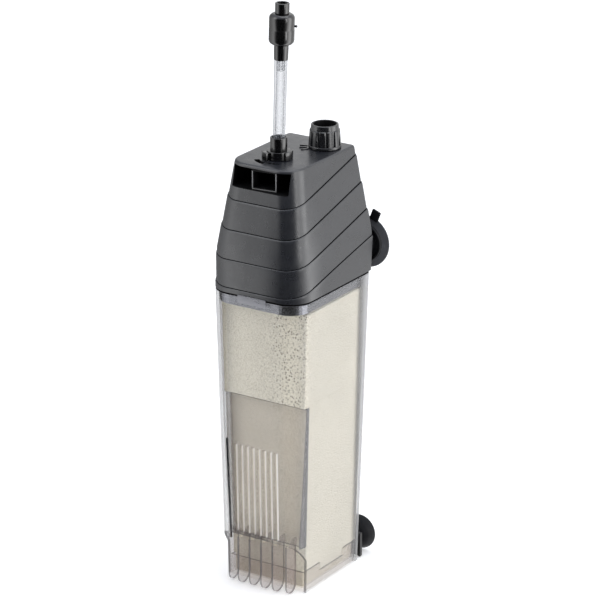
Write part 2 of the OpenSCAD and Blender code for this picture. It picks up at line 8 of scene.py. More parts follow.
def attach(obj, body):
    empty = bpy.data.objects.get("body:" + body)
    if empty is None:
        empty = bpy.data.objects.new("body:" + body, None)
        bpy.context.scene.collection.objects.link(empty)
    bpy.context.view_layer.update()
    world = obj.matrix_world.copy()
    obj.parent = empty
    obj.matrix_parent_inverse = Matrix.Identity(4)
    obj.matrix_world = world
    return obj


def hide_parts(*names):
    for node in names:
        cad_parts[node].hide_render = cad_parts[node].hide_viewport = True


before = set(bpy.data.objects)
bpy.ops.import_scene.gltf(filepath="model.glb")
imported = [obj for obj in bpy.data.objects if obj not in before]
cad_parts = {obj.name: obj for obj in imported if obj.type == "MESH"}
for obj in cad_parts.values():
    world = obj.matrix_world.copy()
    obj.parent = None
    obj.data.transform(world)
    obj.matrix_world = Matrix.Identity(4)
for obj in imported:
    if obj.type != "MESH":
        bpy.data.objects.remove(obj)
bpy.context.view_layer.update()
MM = 0.001

# Sizes, angles and counts of the CAD model, in millimetres and degrees
HW, HD, CAN_H, DRAFT, WALL = 40.0, 49.7, 229.6, 5.4, 2.2
CORNER_R, BACK_R = 18.0, 6.0
MOUTH_H, MOUTH_Y = 41.0, -31.0
SLOT_LEN, SLOT_BAR, SLOT_W, SLOT_N = 69.5, 2.5, 2.2, 8
FIN_PITCH, FIN_T, FIN_Y = 10.07, 1.4, -47.0
GUIDE_H, GUIDE_T, FLANGE_T = 146.5, 1.8, 0.9
TRAY_H, TRAY_LOW = 15.6, 9.5
HEAD_Z, HEAD_H = 231.0, 95.6
TOP_Z = HEAD_Z + HEAD_H
PLATE_Z, POCKET_Z = TOP_Z - 2.4, TOP_Z - 18.0
BAND_STEP, BAND_TOP, BAND_PITCH, BAND_RISE = 0.7, 78.8, 20.9, 0.247
BULGE_H, LEAN_FRONT, LEAN_BACK, LEAN_FACE, LEAN_REAR = 30.0, 0.4, -1.7, 0.3, 0.0
TOP_WF, TOP_WB, TOP_YF, TOP_YB = 28.5, 28.8, -38.2, 43.8
FOOT_R, BEND_R, TOP_R, REAR_R, HEAD_WALL = 15.0, 13.5, 15.0, 1.5, 2.4
POST_H = 42.0
POST_X = HW - HEAD_WALL - (HW - TOP_WF) * (POST_H + 3) / (HEAD_H - 2.4) - 1.84
FOAM_TOP = CAN_H - 10.0
TURRET = (0.0, -14.0)
NOZZLE_YAW, NOZZLE_W, NOZZLE_REACH = 7.0, 19.5, 23.5
PIVOT_R, DUCT_R, DRUM_R, AIR_R, STEM_R = 6.55, 8.0, 8.2, 1.5, 3.5
SOCKET_Z = TOP_Z + 6.3
PIPE_Z, PIPE_R, PIPE_LEN = SOCKET_Z + 2.6, 4.4, 64.4
STEM_Z = PIPE_Z + PIPE_LEN
BARREL_Z, BARREL_R = STEM_Z + 11.2, 9.2
CAP_Z = BARREL_Z + 22.8
KNOB, KNOB_R, KNOB_H, FLUTES, FLUTE_R = (13.3, 26.5), 12.0, 17.6, 12, 1.3
GLASS_Y, CUP_R, CUP_X, CUP_Z = 60.8, 20.0, 28.0, HEAD_Z + 17.0
FOOT_CUP_R, FOOT_CUP_X = 13.6, 24.2
FOOT_CUP_Z = FOOT_CUP_R + 0.5
NECK_R, PEG_R, HEAD_PEG_X, FOOT_PEG_X, FOOT_PEG_Z = 3.8, 2.5, 12, 9, 10
GLAND_X, GLAND_Z, GLAND_R = -16.0, HEAD_Z + 66.0, 4.7
# Wider than the filter to either side, for cutters
WIDE = 60
UP, BACK, FRONT = (0, 0, 1), (0, 1, 0), (0, -1, 0)


def shift(x, y, z):
    return Matrix.Translation((x, y, z))


def turned(degrees, axis):
    return Matrix.Rotation(math.radians(degrees), 4, axis)


def unit(value):
    return min(1.0, max(0.0, value))


# The pipe and the valve lean a little
LEAN = (
    shift(*TURRET, SOCKET_Z)
    @ turned(1.5, Vector((-0.543, 0.839, 0.0)).normalized())
    @ shift(0.0, 0.0, -SOCKET_Z)
)

scene = bpy.context.scene
scene.view_settings.view_transform = "Standard"
scene.cycles.transparent_max_bounces = 40


# Camera at the photograph's angle
def make_camera():
    azimuth, elevation, distance = math.radians(32.92), math.radians(19.91), 2.49476
    target = Vector((0.00907, 0.0, 0.21612))
    back = Vector((
        math.sin(azimuth) * math.cos(elevation),
        -math.cos(azimuth) * math.cos(elevation),
        math.sin(elevation),
    ))
    data = bpy.data.cameras.new("camera")
    data.lens, data.sensor_width = 205.36, 36.0
    data.clip_start, data.clip_end = 0.05, 50.0
    cam = bpy.data.objects.new("camera", data)
    scene.collection.objects.link(cam)
    cam.location = target + back * distance
    cam.rotation_euler = (-back).to_track_quat("-Z", "Y").to_euler()
    scene.camera = cam


make_camera()


# Colour sockets of a Mix node
MIX_A, MIX_B, MIX_OUT = 6, 7, 2


# Materials
def scaled(colour, k):
    return tuple(min(1.0, c * k) for c in colour)


class Graph:
    """Short forms for building a node tree."""

    def __init__(self, tree):
        self.nodes, self.links = tree.nodes, tree.links

    def node(self, kind, **values):
        n = self.nodes.new("ShaderNode" + kind)
        for key, value in values.items():
            if hasattr(n, key):
                setattr(n, key, value)
            else:
                n.inputs[key.replace("_", " ")].default_value = value
        return n

    def link(self, a, b):
        self.links.new(a, b)

    def between(self, source, low, high, start=0.0, end=1.0):
        m = self.node("MapRange", From_Min=start, From_Max=end, To_Min=low, To_Max=high)
        self.link(source, m.inputs["Value"])
        return m.outputs["Result"]

    def ramp(self, source, stops):
        r = self.node("ValToRGB")
        while len(r.color_ramp.elements) < len(stops):
            r.color_ramp.elements.new(0.5)
        for e, (place, colour) in zip(r.color_ramp.elements, stops):
            e.position = place
            e.color = (*colour, 1.0)
        self.link(source, r.inputs["Fac"])
        return r.outputs["Color"]

    def mix(self, factor, base, colour):
        """From a colour socket towards one fixed colour."""
        m = self.node("Mix", data_type="RGBA")
        self.link(factor, m.inputs["Factor"])
        self.link(base, m.inputs[MIX_A])
        m.inputs[MIX_B].default_value = (*colour, 1.0)
        return m.outputs[MIX_OUT]

    def math(self, operation, a, b):
        m = self.node("Math", operation=operation)
        self.link(a, m.inputs[0])
        self.link(b, m.inputs[1])
        return m.outputs[0]

    def parts(self, vector):
        """The X, Y and Z of a vector."""
        split = self.node("SeparateXYZ")
        self.link(vector, split.inputs["Vector"])
        return split.outputs


class Shader(Graph):
    """A procedural material round one Principled shader."""

    def __init__(self, name, colour, roughness, metallic=0.0, specular=0.5):
        self.mat = bpy.data.materials.new(name)
        self.mat.use_nodes = True
        super().__init__(self.mat.node_tree)
        self.bsdf = self.nodes["Principled BSDF"]
        self.bsdf.inputs["Base Color"].default_value = (*colour, 1.0)
        self.bsdf.inputs["Roughness"].default_value = roughness
        self.bsdf.inputs["Metallic"].default_value = metallic
        self.bsdf.inputs["Specular IOR Level"].default_value = specular
        self.place = self.node("TexCoord").outputs["Object"]
        self.normal = None

    def textured(self, kind, output, stretch=(1, 1, 1), **values):
        """A texture over the object's own coordinates."""
        m = self.node("Mapping", Scale=stretch)
        self.link(self.place, m.inputs["Vector"])
        n = self.node(kind, **values)
        self.link(m.outputs["Vector"], n.inputs["Vector"])
        return n.outputs[output]

    def noise(self, scale, detail=3.0, stretch=(1, 1, 1)):
        return self.textured("TexNoise", "Fac", stretch, Scale=scale, Detail=detail)

    def cells(self, scale):
        return self.textured("TexVoronoi", "Distance", Scale=scale)

    def clouds(self, colour, scale, detail, vary):
        """Slight clouds of a colour, darker and lighter by a share."""
        stops = [(0.3, scaled(colour, 1 - vary)), (0.7, scaled(colour, 1 + vary))]
        return self.ramp(self.noise(scale, detail), stops)

    def colour(self, socket):
        self.link(socket, self.bsdf.inputs["Base Color"])

    def uneven(self, roughness, scale, low, high):
        """Gloss that varies between two shares of a roughness."""
        varied = self.between(self.noise(scale), roughness * low, roughness * high, 0.3, 0.7)
        self.link(varied, self.bsdf.inputs["Roughness"])

    def bump(self, socket, strength, distance):
        b = self.node("Bump", Strength=strength, Distance=distance)
        self.link(socket, b.inputs["Height"])
        if self.normal is not None:
            self.link(self.normal, b.inputs["Normal"])
        self.normal = b.outputs["Normal"]
        self.link(self.normal, self.bsdf.inputs["Normal"])

    def see_through(self, facing, grazing, mask=None, least=None):
        """Opacity that rises towards grazing angles, times a mask and not below a least."""
        w = self.node("LayerWeight", Blend=0.35)
        opacity = self.between(w.outputs["Facing"], facing, grazing)
        if mask is not None:
            opacity = self.math("MAXIMUM", self.math("MULTIPLY", opacity, mask), least)
        self.link(opacity, self.bsdf.inputs["Alpha"])


# Clouds of clear plastic by scale, detail and share, and its gloss by scale and shares
HAZE = 30.0, 3.0, 0.06
CLEAR_GLOSS = 90.0, 0.7, 1.6
# Share of the wall's opacity that is left on its clear strip
STRIP_SHARE = 0.04


def moulded(
    name, colour, roughness, grain=1500.0, depth=0.00008, strength=0.25, vary=0.16, specular=0.5, metallic=0.0
):
    """Moulded plastic or rubber: a fine grain, uneven gloss and slight clouds of colour."""
    s = Shader(name, colour, roughness, metallic, specular)
    s.colour(s.clouds(colour, 38.0, 4.0, vary))
    s.uneven(roughness, 160.0, 0.85, 1.18)
    s.bump(s.noise(grain, 2.0), strength, depth)
    return s.mat


def clear_plastic(name, colour, facing, grazing, roughness=0.06):
    """Plastic that can be seen through, with a faint haze."""
    s = Shader(name, colour, roughness)
    s.colour(s.clouds(colour, *HAZE))
    s.uneven(roughness, *CLEAR_GLOSS)
    s.see_through(facing, grazing)
    return s.mat


# Where the clear wall's looks fade, in millimetres
STRIP_LEFT, STRIP_RIGHT, FRONT_WALL = (-33.5, -32.0), (-24.5, -23.0), (-34.0, -30.0)
STREAK_LEFT, STREAK_RIGHT, STREAK_TOP = (-26.0, -24.0), (6.0, 12.0), (MOUTH_H, MOUTH_H + 6.0)
NEAR_X, NEAR_Y = (-34.0, -33.0), (-34.0, -22.0)
FAR_X, FAR_Y = (22.0, 34.0), (34.0, 38.0)


def canister_wall(name, colour, facing, grazing, roughness=0.06):
    """Clear plastic: painted shade at two corners, a clearer strip before the painted dark reflection, dark
    streaks over the mouth.
    """
    s = Shader(name, colour, roughness)
    s.uneven(roughness, *CLEAR_GLOSS)
    x, y, z = s.parts(s.place)

    def rising(axis, bounds, low=0.0):
        return s.between(axis, low, 1.0, bounds[0] * MM, bounds[1] * MM)

    def falling(axis, bounds, low=0.0):
        return s.between(axis, 1.0, low, bounds[0] * MM, bounds[1] * MM)

    # the wall is nearly clear in a strip on the left of its front
    strip = s.math("MAXIMUM", falling(x, STRIP_LEFT, STRIP_SHARE), rising(x, STRIP_RIGHT, STRIP_SHARE))
    strip = s.math("MAXIMUM", strip, rising(y, FRONT_WALL, STRIP_SHARE))
    # the front wall is darker and more opaque, in ragged streaks, just over the mouth
    streaks = falling(z, STREAK_TOP)
    ragged = s.between(s.noise(1.0, 2.0, (800.0, 1.0, 70.0)), 0.25, 1.0, 0.38, 0.62)
    for part in (ragged, rising(x, STREAK_LEFT), falling(x, STREAK_RIGHT), falling(y, FRONT_WALL)):
        streaks = s.math("MULTIPLY", streaks, part)
    # painted shade: the wall is greyer and more opaque at its front left and back right corners
    near = s.math("MULTIPLY", falling(x, NEAR_X), falling(y, NEAR_Y))
    far = s.math("MULTIPLY", rising(x, FAR_X), rising(y, FAR_Y))
    grey = s.math("MAXIMUM", near, far)
    greyed = s.mix(grey, s.clouds(colour, *HAZE), (0.37, 0.37, 0.373))
    s.colour(s.mix(s.between(streaks, 0.0, 1.0, 0.0, 0.3), greyed, (0.09, 0.075, 0.075)))
    least = s.math("MAXIMUM", s.between(streaks, 0.0, 0.8), s.between(grey, 0.0, 0.6))
    s.see_through(facing, grazing, strip, least)
    return s.mat


def foam_material():
    """Cream foam with a fine grain. Its pores, darkened with painted shade inside them, stand open in the
    front right corner, off the wall.
    """
    cream = (0.79, 0.742, 0.62)
    s = Shader("filter_foam", cream, 0.9, specular=0.1)
    x, y, _ = s.parts(s.place)
    big, fine = s.cells(510.0), s.cells(680.0)
    corner = s.math("MULTIPLY", s.between(x, 0.0, 1.0, -0.004, 0.017), s.between(y, 1.0, 0.0, -0.034, -0.03))
    patchy = s.between(s.noise(120.0, 2.0), 0.45, 1.0, 0.4, 0.62)
    patchy = s.math("MULTIPLY", patchy, s.between(corner, 0.17, 1.0))
    # painted shade: the pores are darkened where shade falls inside them
    pores = s.math("MULTIPLY", s.between(big, 1.0, 0.0, 0.18, 0.43), patchy)
    pored = s.mix(pores, s.clouds(cream, 22.0, 4.0, 0.05), (0.13, 0.1, 0.065))
    grain = s.ramp(s.between(fine, 1.0, 0.0, 0.1, 0.5), [(0.0, (1, 1, 1)), (1.0, (0.76, 0.73, 0.68))])
    grained = s.node("Mix", data_type="RGBA", blend_type="MULTIPLY")
    grained.inputs["Factor"].default_value = 0.9
    s.link(pored, grained.inputs[MIX_A])
    s.link(grain, grained.inputs[MIX_B])
    s.colour(grained.outputs[MIX_OUT])
    s.bump(s.between(big, 0.0, 1.0, 0.05, 0.45), 0.35, 0.0006)
    s.bump(fine, 0.3, 0.0003)
    return s.mat


def striped(name, light, dark, roughness, metallic, scale, axis):
    """Stacked sheets or wound wire: fine bands along one axis."""
    s = Shader(name, light, roughness, metallic)
    w = s.node("TexWave", bands_direction=axis, Scale=scale, Distortion=0.4, Detail=1.0)
    s.link(s.place, w.inputs["Vector"])
    s.colour(s.ramp(w.outputs["Fac"], [(0.2, dark), (0.7, light)]))
    s.uneven(roughness, 300.0, 0.8, 1.2)
    s.bump(w.outputs["Fac"], 0.4, 0.0001)
    return s.mat


MAT = {
    "head": moulded("anthracite_grained", (0.0155, 0.017, 0.0215), 0.3, 1100.0, 0.00018, 0.4, 0.1, 1.0),
    "crease": moulded("crease_shadow", (0.004, 0.004, 0.0045), 0.6, specular=0.2),
    "black": moulded("black_polished", (0.0022, 0.0022, 0.0025), 0.16, 700.0, 0.00005, 0.08, specular=1.0),
    "knob": moulded("knob_black", (0.01, 0.0104, 0.012), 0.2, 700.0, 0.00005, 0.12, specular=1.0),
    # Black plastic, and painted shade: the head's pocket, its slots and the knob's bore are darker and duller
    # than round them
    "pocket": moulded("black_and_pocket_shade", (0.004, 0.004, 0.0045), 0.55, vary=0.1, specular=0.25),
    "rim": moulded("nozzle_rim_highlight", (0.22, 0.22, 0.22), 0.45, 900.0),
    "bracket": moulded("bracket_black", (0.012, 0.012, 0.013), 0.42),
    "rubber": moulded("cup_rubber", (0.009, 0.0095, 0.0115), 0.5, 1100.0, 0.0001, specular=0.2),
    "rubber_rim": moulded("cup_rim_highlight", (0.055, 0.057, 0.064), 0.55, 900.0, specular=0.3),
    "seal": moulded("seal_rubber", (0.002, 0.002, 0.002), 0.7, specular=0.05),
    "collar": moulded("collar_grey", (0.205, 0.21, 0.232), 0.1, strength=0.02, vary=0.06, metallic=1.0),
    "ceramic": moulded("shaft_ceramic", (0.82, 0.81, 0.78), 0.3, vary=0.05),
    "inner": moulded("inner_plastic", (0.05, 0.052, 0.056), 0.5),
    "white": moulded("impeller_white", (0.72, 0.72, 0.69), 0.45),
    "magnet": moulded("sintered_magnet", (0.035, 0.033, 0.032), 0.62, 2600.0, 0.0002, 0.5),
    "dark_strip": moulded("dark_reflection_strip", (0.006, 0.006, 0.0065), 0.6, specular=0.05),
    "clear": canister_wall("clear_wall", (0.38, 0.38, 0.384), 0.02, 0.5),
    "tab": clear_plastic("rim_tab", (0.3, 0.3, 0.32), 0.5, 0.8, roughness=0.25),
    "edge": clear_plastic("clear_cut_edge", (0.06, 0.055, 0.06), 0.6, 0.85),
    "slot": clear_plastic("slot_face_reflection", (0.93, 0.9, 0.85), 0.9, 0.96, roughness=0.5),
    "smoked": clear_plastic("smoked_wall", (0.36, 0.24, 0.185), 0.04, 0.26),
    "smoked_margin": clear_plastic("smoked_margin", (0.42, 0.385, 0.335), 0.45, 0.6),
    "smoked_edge": clear_plastic("smoked_edge", (0.085, 0.08, 0.085), 0.6, 0.85),
    "smoked_flange": clear_plastic("smoked_flange", (0.16, 0.155, 0.17), 0.5, 0.7),
    "smoked_line": clear_plastic("smoked_top_line", (0.03, 0.027, 0.027), 0.8, 0.9),
    "fin": clear_plastic("smoked_fin", (0.31, 0.245, 0.238), 0.14, 0.4),
    "pipe": clear_plastic("clear_pipe", (0.28, 0.292, 0.312), 0.095, 0.85),
    "foam": foam_material(),
    "lamination": striped("lamination_sheets", (0.36, 0.37, 0.39), (0.16, 0.16, 0.17), 0.4, 0.9, 900.0, "Z"),
    "copper": striped("copper_winding", (0.72, 0.33, 0.14), (0.3, 0.11, 0.04), 0.35, 0.9, 700.0, "X"),
    "steel": striped("ground_steel", (0.62, 0.63, 0.65), (0.5, 0.5, 0.52), 0.25, 1.0, 1500.0, "Z"),
}


# Mesh helpers
MERGE, SHARP_ANGLE, BEVEL_SMOOTH = 2e-6, 40.0, 50.0


def finish_mesh(ob, angle=35.0):
    me = ob.data
    bm = bmesh.new()
    bm.from_mesh(me)
    bmesh.ops.remove_doubles(bm, verts=bm.verts, dist=MERGE)
    bmesh.ops.recalc_face_normals(bm, faces=bm.faces)
    bm.to_mesh(me)
    bm.free()
    me.shade_smooth()
    me.set_sharp_from_angle(angle=math.radians(angle))
    return ob


def add_mesh(name, verts, faces, materials, indices=None):
    me = bpy.data.meshes.new(name)
    me.from_pydata([(x * MM, y * MM, z * MM) for x, y, z in verts], [], faces)
    for m in materials:
        me.materials.append(MAT[m])
    if indices is not None:
        me.polygons.foreach_set("material_index", indices)
    ob = bpy.data.objects.new(name, me)
    scene.collection.objects.link(ob)
    return finish_mesh(ob)


def moved(ob, matrix_mm):
    """Moves a mesh's vertices by a matrix whose shift is in millimetres."""
    m = matrix_mm.copy()
    m.translation = m.translation * MM
    ob.data.transform(m)
    return ob


def boolean(ob, cutter, operation="DIFFERENCE"):
    mod = ob.modifiers.new("cut", "BOOLEAN")
    mod.operation, mod.object, mod.solver = operation, cutter, "EXACT"
    mod.material_mode = "TRANSFER"
    bpy.context.view_layer.update()
    dg = bpy.context.evaluated_depsgraph_get()
    me = bpy.data.meshes.new_from_object(ob.evaluated_get(dg))
    ob.modifiers.clear()
    ob.data = me
    bpy.data.objects.remove(cutter)
    return finish_mesh(ob)


def join(name, objects):
    """One mesh object out of several, keeping their materials."""
    bpy.ops.object.select_all(action="DESELECT")
    for o in objects:
        o.select_set(True)
    bpy.context.view_layer.objects.active = objects[0]
    bpy.ops.object.join()
    ob = bpy.context.view_layer.objects.active
    ob.name = ob.data.name = name
    return finish_mesh(ob)


def bevel(ob, width, segments=2):
    """Rounds the sharp edges of a plain mesh."""
    bm = bmesh.new()
    bm.from_mesh(ob.data)
    limit = math.radians(SHARP_ANGLE)
    edges = [e for e in bm.edges if len(e.link_faces) == 2 and e.calc_face_angle(0.0) > limit]
    bmesh.ops.bevel(
        bm, geom=edges, offset=width * MM, segments=segments, profile=0.5,
        affect="EDGES", clamp_overlap=True, material=-1,
    )
    bm.to_mesh(ob.data)
    bm.free()
    return finish_mesh(ob, BEVEL_SMOOTH)


def repaint(ob, material, chosen):
    """Gives the faces that pass a test another material."""
    me, mat = ob.data, MAT[material]
    if mat.name not in me.materials:
        me.materials.append(mat)
    for f in me.polygons:
        if chosen(f):
            f.material_index = me.materials.find(mat.name)


def box(name, lo, hi, material, round_by=0.0):
    v = [(x, y, z) for z in (lo[2], hi[2]) for y in (lo[1], hi[1]) for x in (lo[0], hi[0])]
    f = [(0, 2, 3, 1), (4, 5, 7, 6), (0, 1, 5, 4), (2, 6, 7, 3), (0, 4, 6, 2), (1, 3, 7, 5)]
    ob = add_mesh(name, v, f, [material])
    return bevel(ob, round_by, 3) if round_by else ob


def fillet(points, radius, steps=5):
    """Rounds the corners of a profile, all but its two ends."""
    out = [points[0]]
    for a, b, c in zip(points, points[1:], points[2:]):
        p, q, r = (np.array(k, float) for k in (a, b, c))
        u, w = p - q, r - q
        lu, lw = np.linalg.norm(u), np.linalg.norm(w)
        if lu < 1e-6 or lw < 1e-6:
            continue
        u, w = u / lu, w / lw
        cut = min(radius, 0.45 * lu, 0.45 * lw)
        s, e = q + u * cut, q + w * cut
        for i in range(steps + 1):
            t = i / steps
            out.append(tuple((1 - t) ** 2 * s + 2 * t * (1 - t) * q + t * t * e))
    out.append(points[-1])
    return out


def lathe(name, profile, material, segments=72, place=None):
    """Turns a profile of (radius, height) round Z. Ends at radius 0 are closed to a point."""
    verts, rings = [], []
    for r, z in profile:
        if r < 1e-6:
            rings.append([len(verts)])
            verts.append((0.0, 0.0, z))
        else:
            rings.append(list(range(len(verts), len(verts) + segments)))
            for i in range(segments):
                a = 2 * math.pi * i / segments
                verts.append((r * math.cos(a), r * math.sin(a), z))
    faces = []
    loops = list(zip(rings, rings[1:]))
    if profile[0][0] > 1e-6 and profile[-1][0] > 1e-6:
        loops.append((rings[-1], rings[0]))
    for a, b in loops:
        for i in range(segments):
            j = (i + 1) % segments
            if len(a) == 1 and len(b) == 1:
                continue
            if len(a) == 1:
                faces.append((a[0], b[j], b[i]))
            elif len(b) == 1:
                faces.append((a[i], a[j], b[0]))
            else:
                faces.append((a[i], a[j], b[j], b[i]))
    ob = add_mesh(name, verts, faces, [material])
    return moved(ob, place) if place is not None else ob


def prism(name, shape, z0, z1, materials, axis="Z"):
    """A flat shape pushed from z0 to z1; the first material is for its faces, the last for its edge."""
    n = len(shape)
    order = {"Z": (0, 1, 2), "X": (2, 0, 1), "Y": (0, 2, 1)}[axis]
    verts = [tuple((a, b, z)[k] for k in order) for z in (z0, z1) for a, b in shape]
    faces = [tuple(range(n))[::-1], tuple(range(n, 2 * n))]
    faces += [(i, (i + 1) % n, (i + 1) % n + n, i + n) for i in range(n)]
    index = [0, 0] + [len(materials) - 1] * n
    return add_mesh(name, verts, faces, materials, index)


def swept(start, end, steps):
    """Even steps between two angles in degrees, as radians."""
    return np.radians(np.linspace(start, end, steps))


def arc(radius, start, end, steps=24):
    """Points on a circle between two angles in degrees."""
    return [(radius * math.cos(a), radius * math.sin(a)) for a in swept(start, end, steps)]


def ring_arc(r0, r1, start, end):
    return arc(r0, start, end) + arc(r1, start, end)[::-1]


def rod(name, centre, radius, axis, length, material, segments=48):
    """A plain cylinder that starts at a centre and runs along an axis."""
    ob = lathe(name, [(0, 0), (radius, 0), (radius, length), (0, length)], material, segments)
    turn = Vector(UP).rotation_difference(Vector(axis)).to_matrix().to_4x4()
    return moved(ob, shift(*centre) @ turn)


def outline(wf, wb, yf, yb, rf, rb, corner=12, side=22, front=16):
    """Points of a level section with four rounded corners, round from the front middle."""
    c1, c2 = np.array([wf - rf, yf + rf]), np.array([wb - rb, yb - rb])
    d = c2 - c1
    phi = math.asin((rf - rb) / np.linalg.norm(d)) - math.atan2(d[0], d[1])
    half = front // 2

    def rounded(centre, radius, start, end):
        angles = np.linspace(start, end, corner + 1)
        return [centre + radius * np.array([math.cos(a), math.sin(a)]) for a in angles]

    near, far = rounded(c1, rf, -math.pi / 2, phi), rounded(c2, rb, phi, math.pi / 2)
    s, e = near[-1], far[0]
    points = [(c1[0] * i / half, yf) for i in range(half)]
    points += near + [s + (e - s) * i / side for i in range(1, side)] + far
    points += [(c2[0] * (1 - i / half), yb) for i in range(1, half + 1)]
    p = np.array(points)
    return np.vstack([p, p[1:-1][::-1] * np.array([-1.0, 1.0])])


def at_height(points, z):
    return np.column_stack([points, np.full(len(points), z)])


def taper(z):
    return DRAFT * (1 - z / CAN_H)


def can_outline(z, inset, **counts):
    k = taper(z) + inset
    rb = max(BACK_R - inset * 0.8, 1.0)
    return outline(HW - k, HW - k, -HD + k, HD - k, CORNER_R - k * 0.75, rb, **counts)


def loft(name, rings, materials, rows=None):
    """A closed solid through level rings, lowest first. Rows may give each strip of faces its material."""
    n = len(rings[0])
    verts = [tuple(p) for ring in rings for p in ring]
    faces = [tuple(range(n))[::-1]]
    for k in range(len(rings) - 1):
        for i in range(n):
            j = (i + 1) % n
            faces.append((k * n + i, k * n + j, (k + 1) * n + j, (k + 1) * n + i))
    faces.append(tuple(range((len(rings) - 1) * n, len(rings) * n)))
    index = None if rows is None else [0] + [r for r in rows for _ in range(n)] + [0]
    return add_mesh(name, verts, faces, materials, index)


def can_loft(name, z0, z1, inset, materials, steps=8, **counts):
    rings = [at_height(can_outline(z, inset, **counts), z) for z in np.linspace(z0, z1, steps)]
    return loft(name, rings, materials)


def piece(ob, body, slot, *nodes):
    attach(ob, body)
    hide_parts(*nodes)
    return ob


# Pump head: five bands, each with a creased and rounded upper edge
BANDS = 5
SPREAD = (BANDS - 1) * BAND_STEP
CREASE, CREASE_FRONT, CREASE_MORE = 0.9, 0.45, 0.5
SIDES_FROM, SIDES_OVER = 12, 14
PLATE_EDGE, BAND_EDGE = 1.7, 2.0
CREASE_TOP, CREASE_FOOT, LIP_START, BAND_GAP = 0.12, 0.02, 0.05, 0.1
BOW_FRONT, BOW_SIDE, BOW_X, BOW_Y = 18.0, 20.0, 26.0, 34.0
POST_R, SCREW_R, SCREW_DEPTH = 4.0, 1.53, 13.0
POST_Y, POST_Z = (-HD + 20.0, HD - 15.0), HEAD_Z + 3
POCKET_HALF, POCKET_BACK, SWING_R = 24.0, -9.0, 13.0
# Curved slots round the turret, by radii and angles, and the scale beside the knob
CURVED_SLOTS = (14, 18, 222, 262), (13.2, 15, 262.5, 305)
DASH_ANGLES, DASH_HALF = (200, 217, 234), 0.7


def head_outlines(out):
    """The head's level outlines at its foot, at its sides' bend and at its top, moved out by a distance."""
    counts = {"corner": 14, "side": 30, "front": 24}
    w, d = HW - SPREAD + out, HD - SPREAD + out
    foot = outline(w, w, -d, d, FOOT_R + out, REAR_R + out / 4, **counts)
    bend = outline(
        w - LEAN_FRONT, w - LEAN_BACK, -d + LEAN_FACE, d - LEAN_REAR, BEND_R + out, REAR_R + out / 4, **counts
    )
    top = outline(
        TOP_WF + out, TOP_WB + out, TOP_YF - out, TOP_YB + out, TOP_R + out, 2 * REAR_R + out, **counts
    )
    return foot, bend, top


def head_outer():
    near, far = head_outlines(0.0), head_outlines(SPREAD)

    def at(i, z, out):
        h = z - HEAD_Z
        low = 0 if h < BULGE_H else 1
        t = h / BULGE_H if h < BULGE_H else (h - BULGE_H) / (HEAD_H - BULGE_H)
        share = out / SPREAD
        p = sum(
            k * ((1 - t) * rings[low][i] + t * rings[low + 1][i])
            for k, rings in ((1 - share, near), (share, far))
        )
        return (p[0], p[1], z)

    columns = []
    for i in range(len(near[0])):
        # the crease is wider on the sides
        crease = CREASE_FRONT + CREASE_MORE * unit((near[0][i][1] + HD - SIDES_FROM) / SIDES_OVER)
        edges = [TOP_Z]
        for k in range(1, BANDS):
            level = z = HEAD_Z + BAND_TOP - (k - 1) * BAND_PITCH
            for _ in range(5):  # the line rises towards the back, so its height is found in steps
                z = level + BAND_RISE * at(i, z, k * BAND_STEP)[1]
            edges.append(z)
        edges.append(HEAD_Z)
        rows, dark = [], []
        for a in swept(0, 90, 7):  # rounded edge of the top plate
            rows.append(at(i, TOP_Z - PLATE_EDGE * (1 - math.cos(a)), -PLATE_EDGE * (1 - math.sin(a))))
        for k in range(BANDS):
            out, top, bottom = k * BAND_STEP, edges[k], edges[k + 1]
            start = top - PLATE_EDGE
            if k:
                tall = min(BAND_EDGE, 0.5 * (top - bottom))
                under = out - BAND_STEP
                dark += [len(rows), len(rows) + 1, len(rows) + 2]
                rows.append(at(i, top - CREASE_TOP, under - CREASE))
                lip = top - crease
                rows.append(at(i, lip + CREASE_FOOT, under - CREASE))
                for a in swept(8, 90, 8):
                    ahead = under + LIP_START + (BAND_STEP - LIP_START) * math.sin(a)
                    rows.append(at(i, lip - tall * (1 - math.cos(a)), ahead))
                start = lip - tall
            end = bottom + (BAND_GAP if k < BANDS - 1 else 0.0)
            for s in np.linspace(0, 1, 7)[1:]:
                rows.append(at(i, start + (end - start) * s, out))
        columns.append(rows)
    count = len(columns[0])
    rings = [[c[r] for c in columns] for r in range(count)][::-1]
    creased = {count - 1 - r for r in dark}
    return loft("head_cover", rings, ["head", "crease"], [1 if r in creased else 0 for r in range(count - 1)])


def head_hollow():
    counts = {"corner": 10, "side": 12, "front": 12}
    w = HEAD_WALL
    a = outline(HW - w, HW - w, -HD + w, HD - w, CORNER_R, 7.0, **counts)
    b = outline(TOP_WF - w, TOP_WB - w, TOP_YF + w, TOP_YB - w, TOP_R - w, 4.0, **counts)
    rings = []
    for t in (-0.01, 0.25, 0.5, 0.75, 1.0):
        rings.append(at_height(a * (1 - t) + b * t, HEAD_Z + t * (PLATE_Z - HEAD_Z)))
    ob = loft("head_hollow", rings, ["inner"])
    return boolean(ob, box("block", (-HW, -HD - 5, POCKET_Z - 2), (HW, -4.7, TOP_Z + 5), "inner"))


def bow_sides(ob):
    """Turns the shading normals of the front and the sides towards the front corners, more so lower down."""
    me = ob.data
    normals = []
    for loop, corner in zip(me.loops, me.corner_normals):
        n, p = corner.vector.copy(), me.vertices[loop.vertex_index].co / MM
        flat, turn = math.hypot(n.x, n.y), math.atan2(n.x, -n.y)
        share = abs(turn) / (math.pi / 2)
        if flat > 0.6 and share < 1.02 and n.x * p.x + n.y * p.y > 0:
            low = unit((TOP_Z - p.z) / HEAD_H)
            front = unit(abs(p.x) / BOW_X) ** 2 * unit(1 - share)
            side = unit(-p.y / BOW_Y) ** 2 * unit(share)
            bend = math.radians(low * (BOW_FRONT * front - BOW_SIDE * side))
            turn += bend if p.x > 0 else -bend
            n = Vector((flat * math.sin(turn), -flat * math.cos(turn), n.z))
        normals.append(n)
    me.normals_split_custom_set(normals)


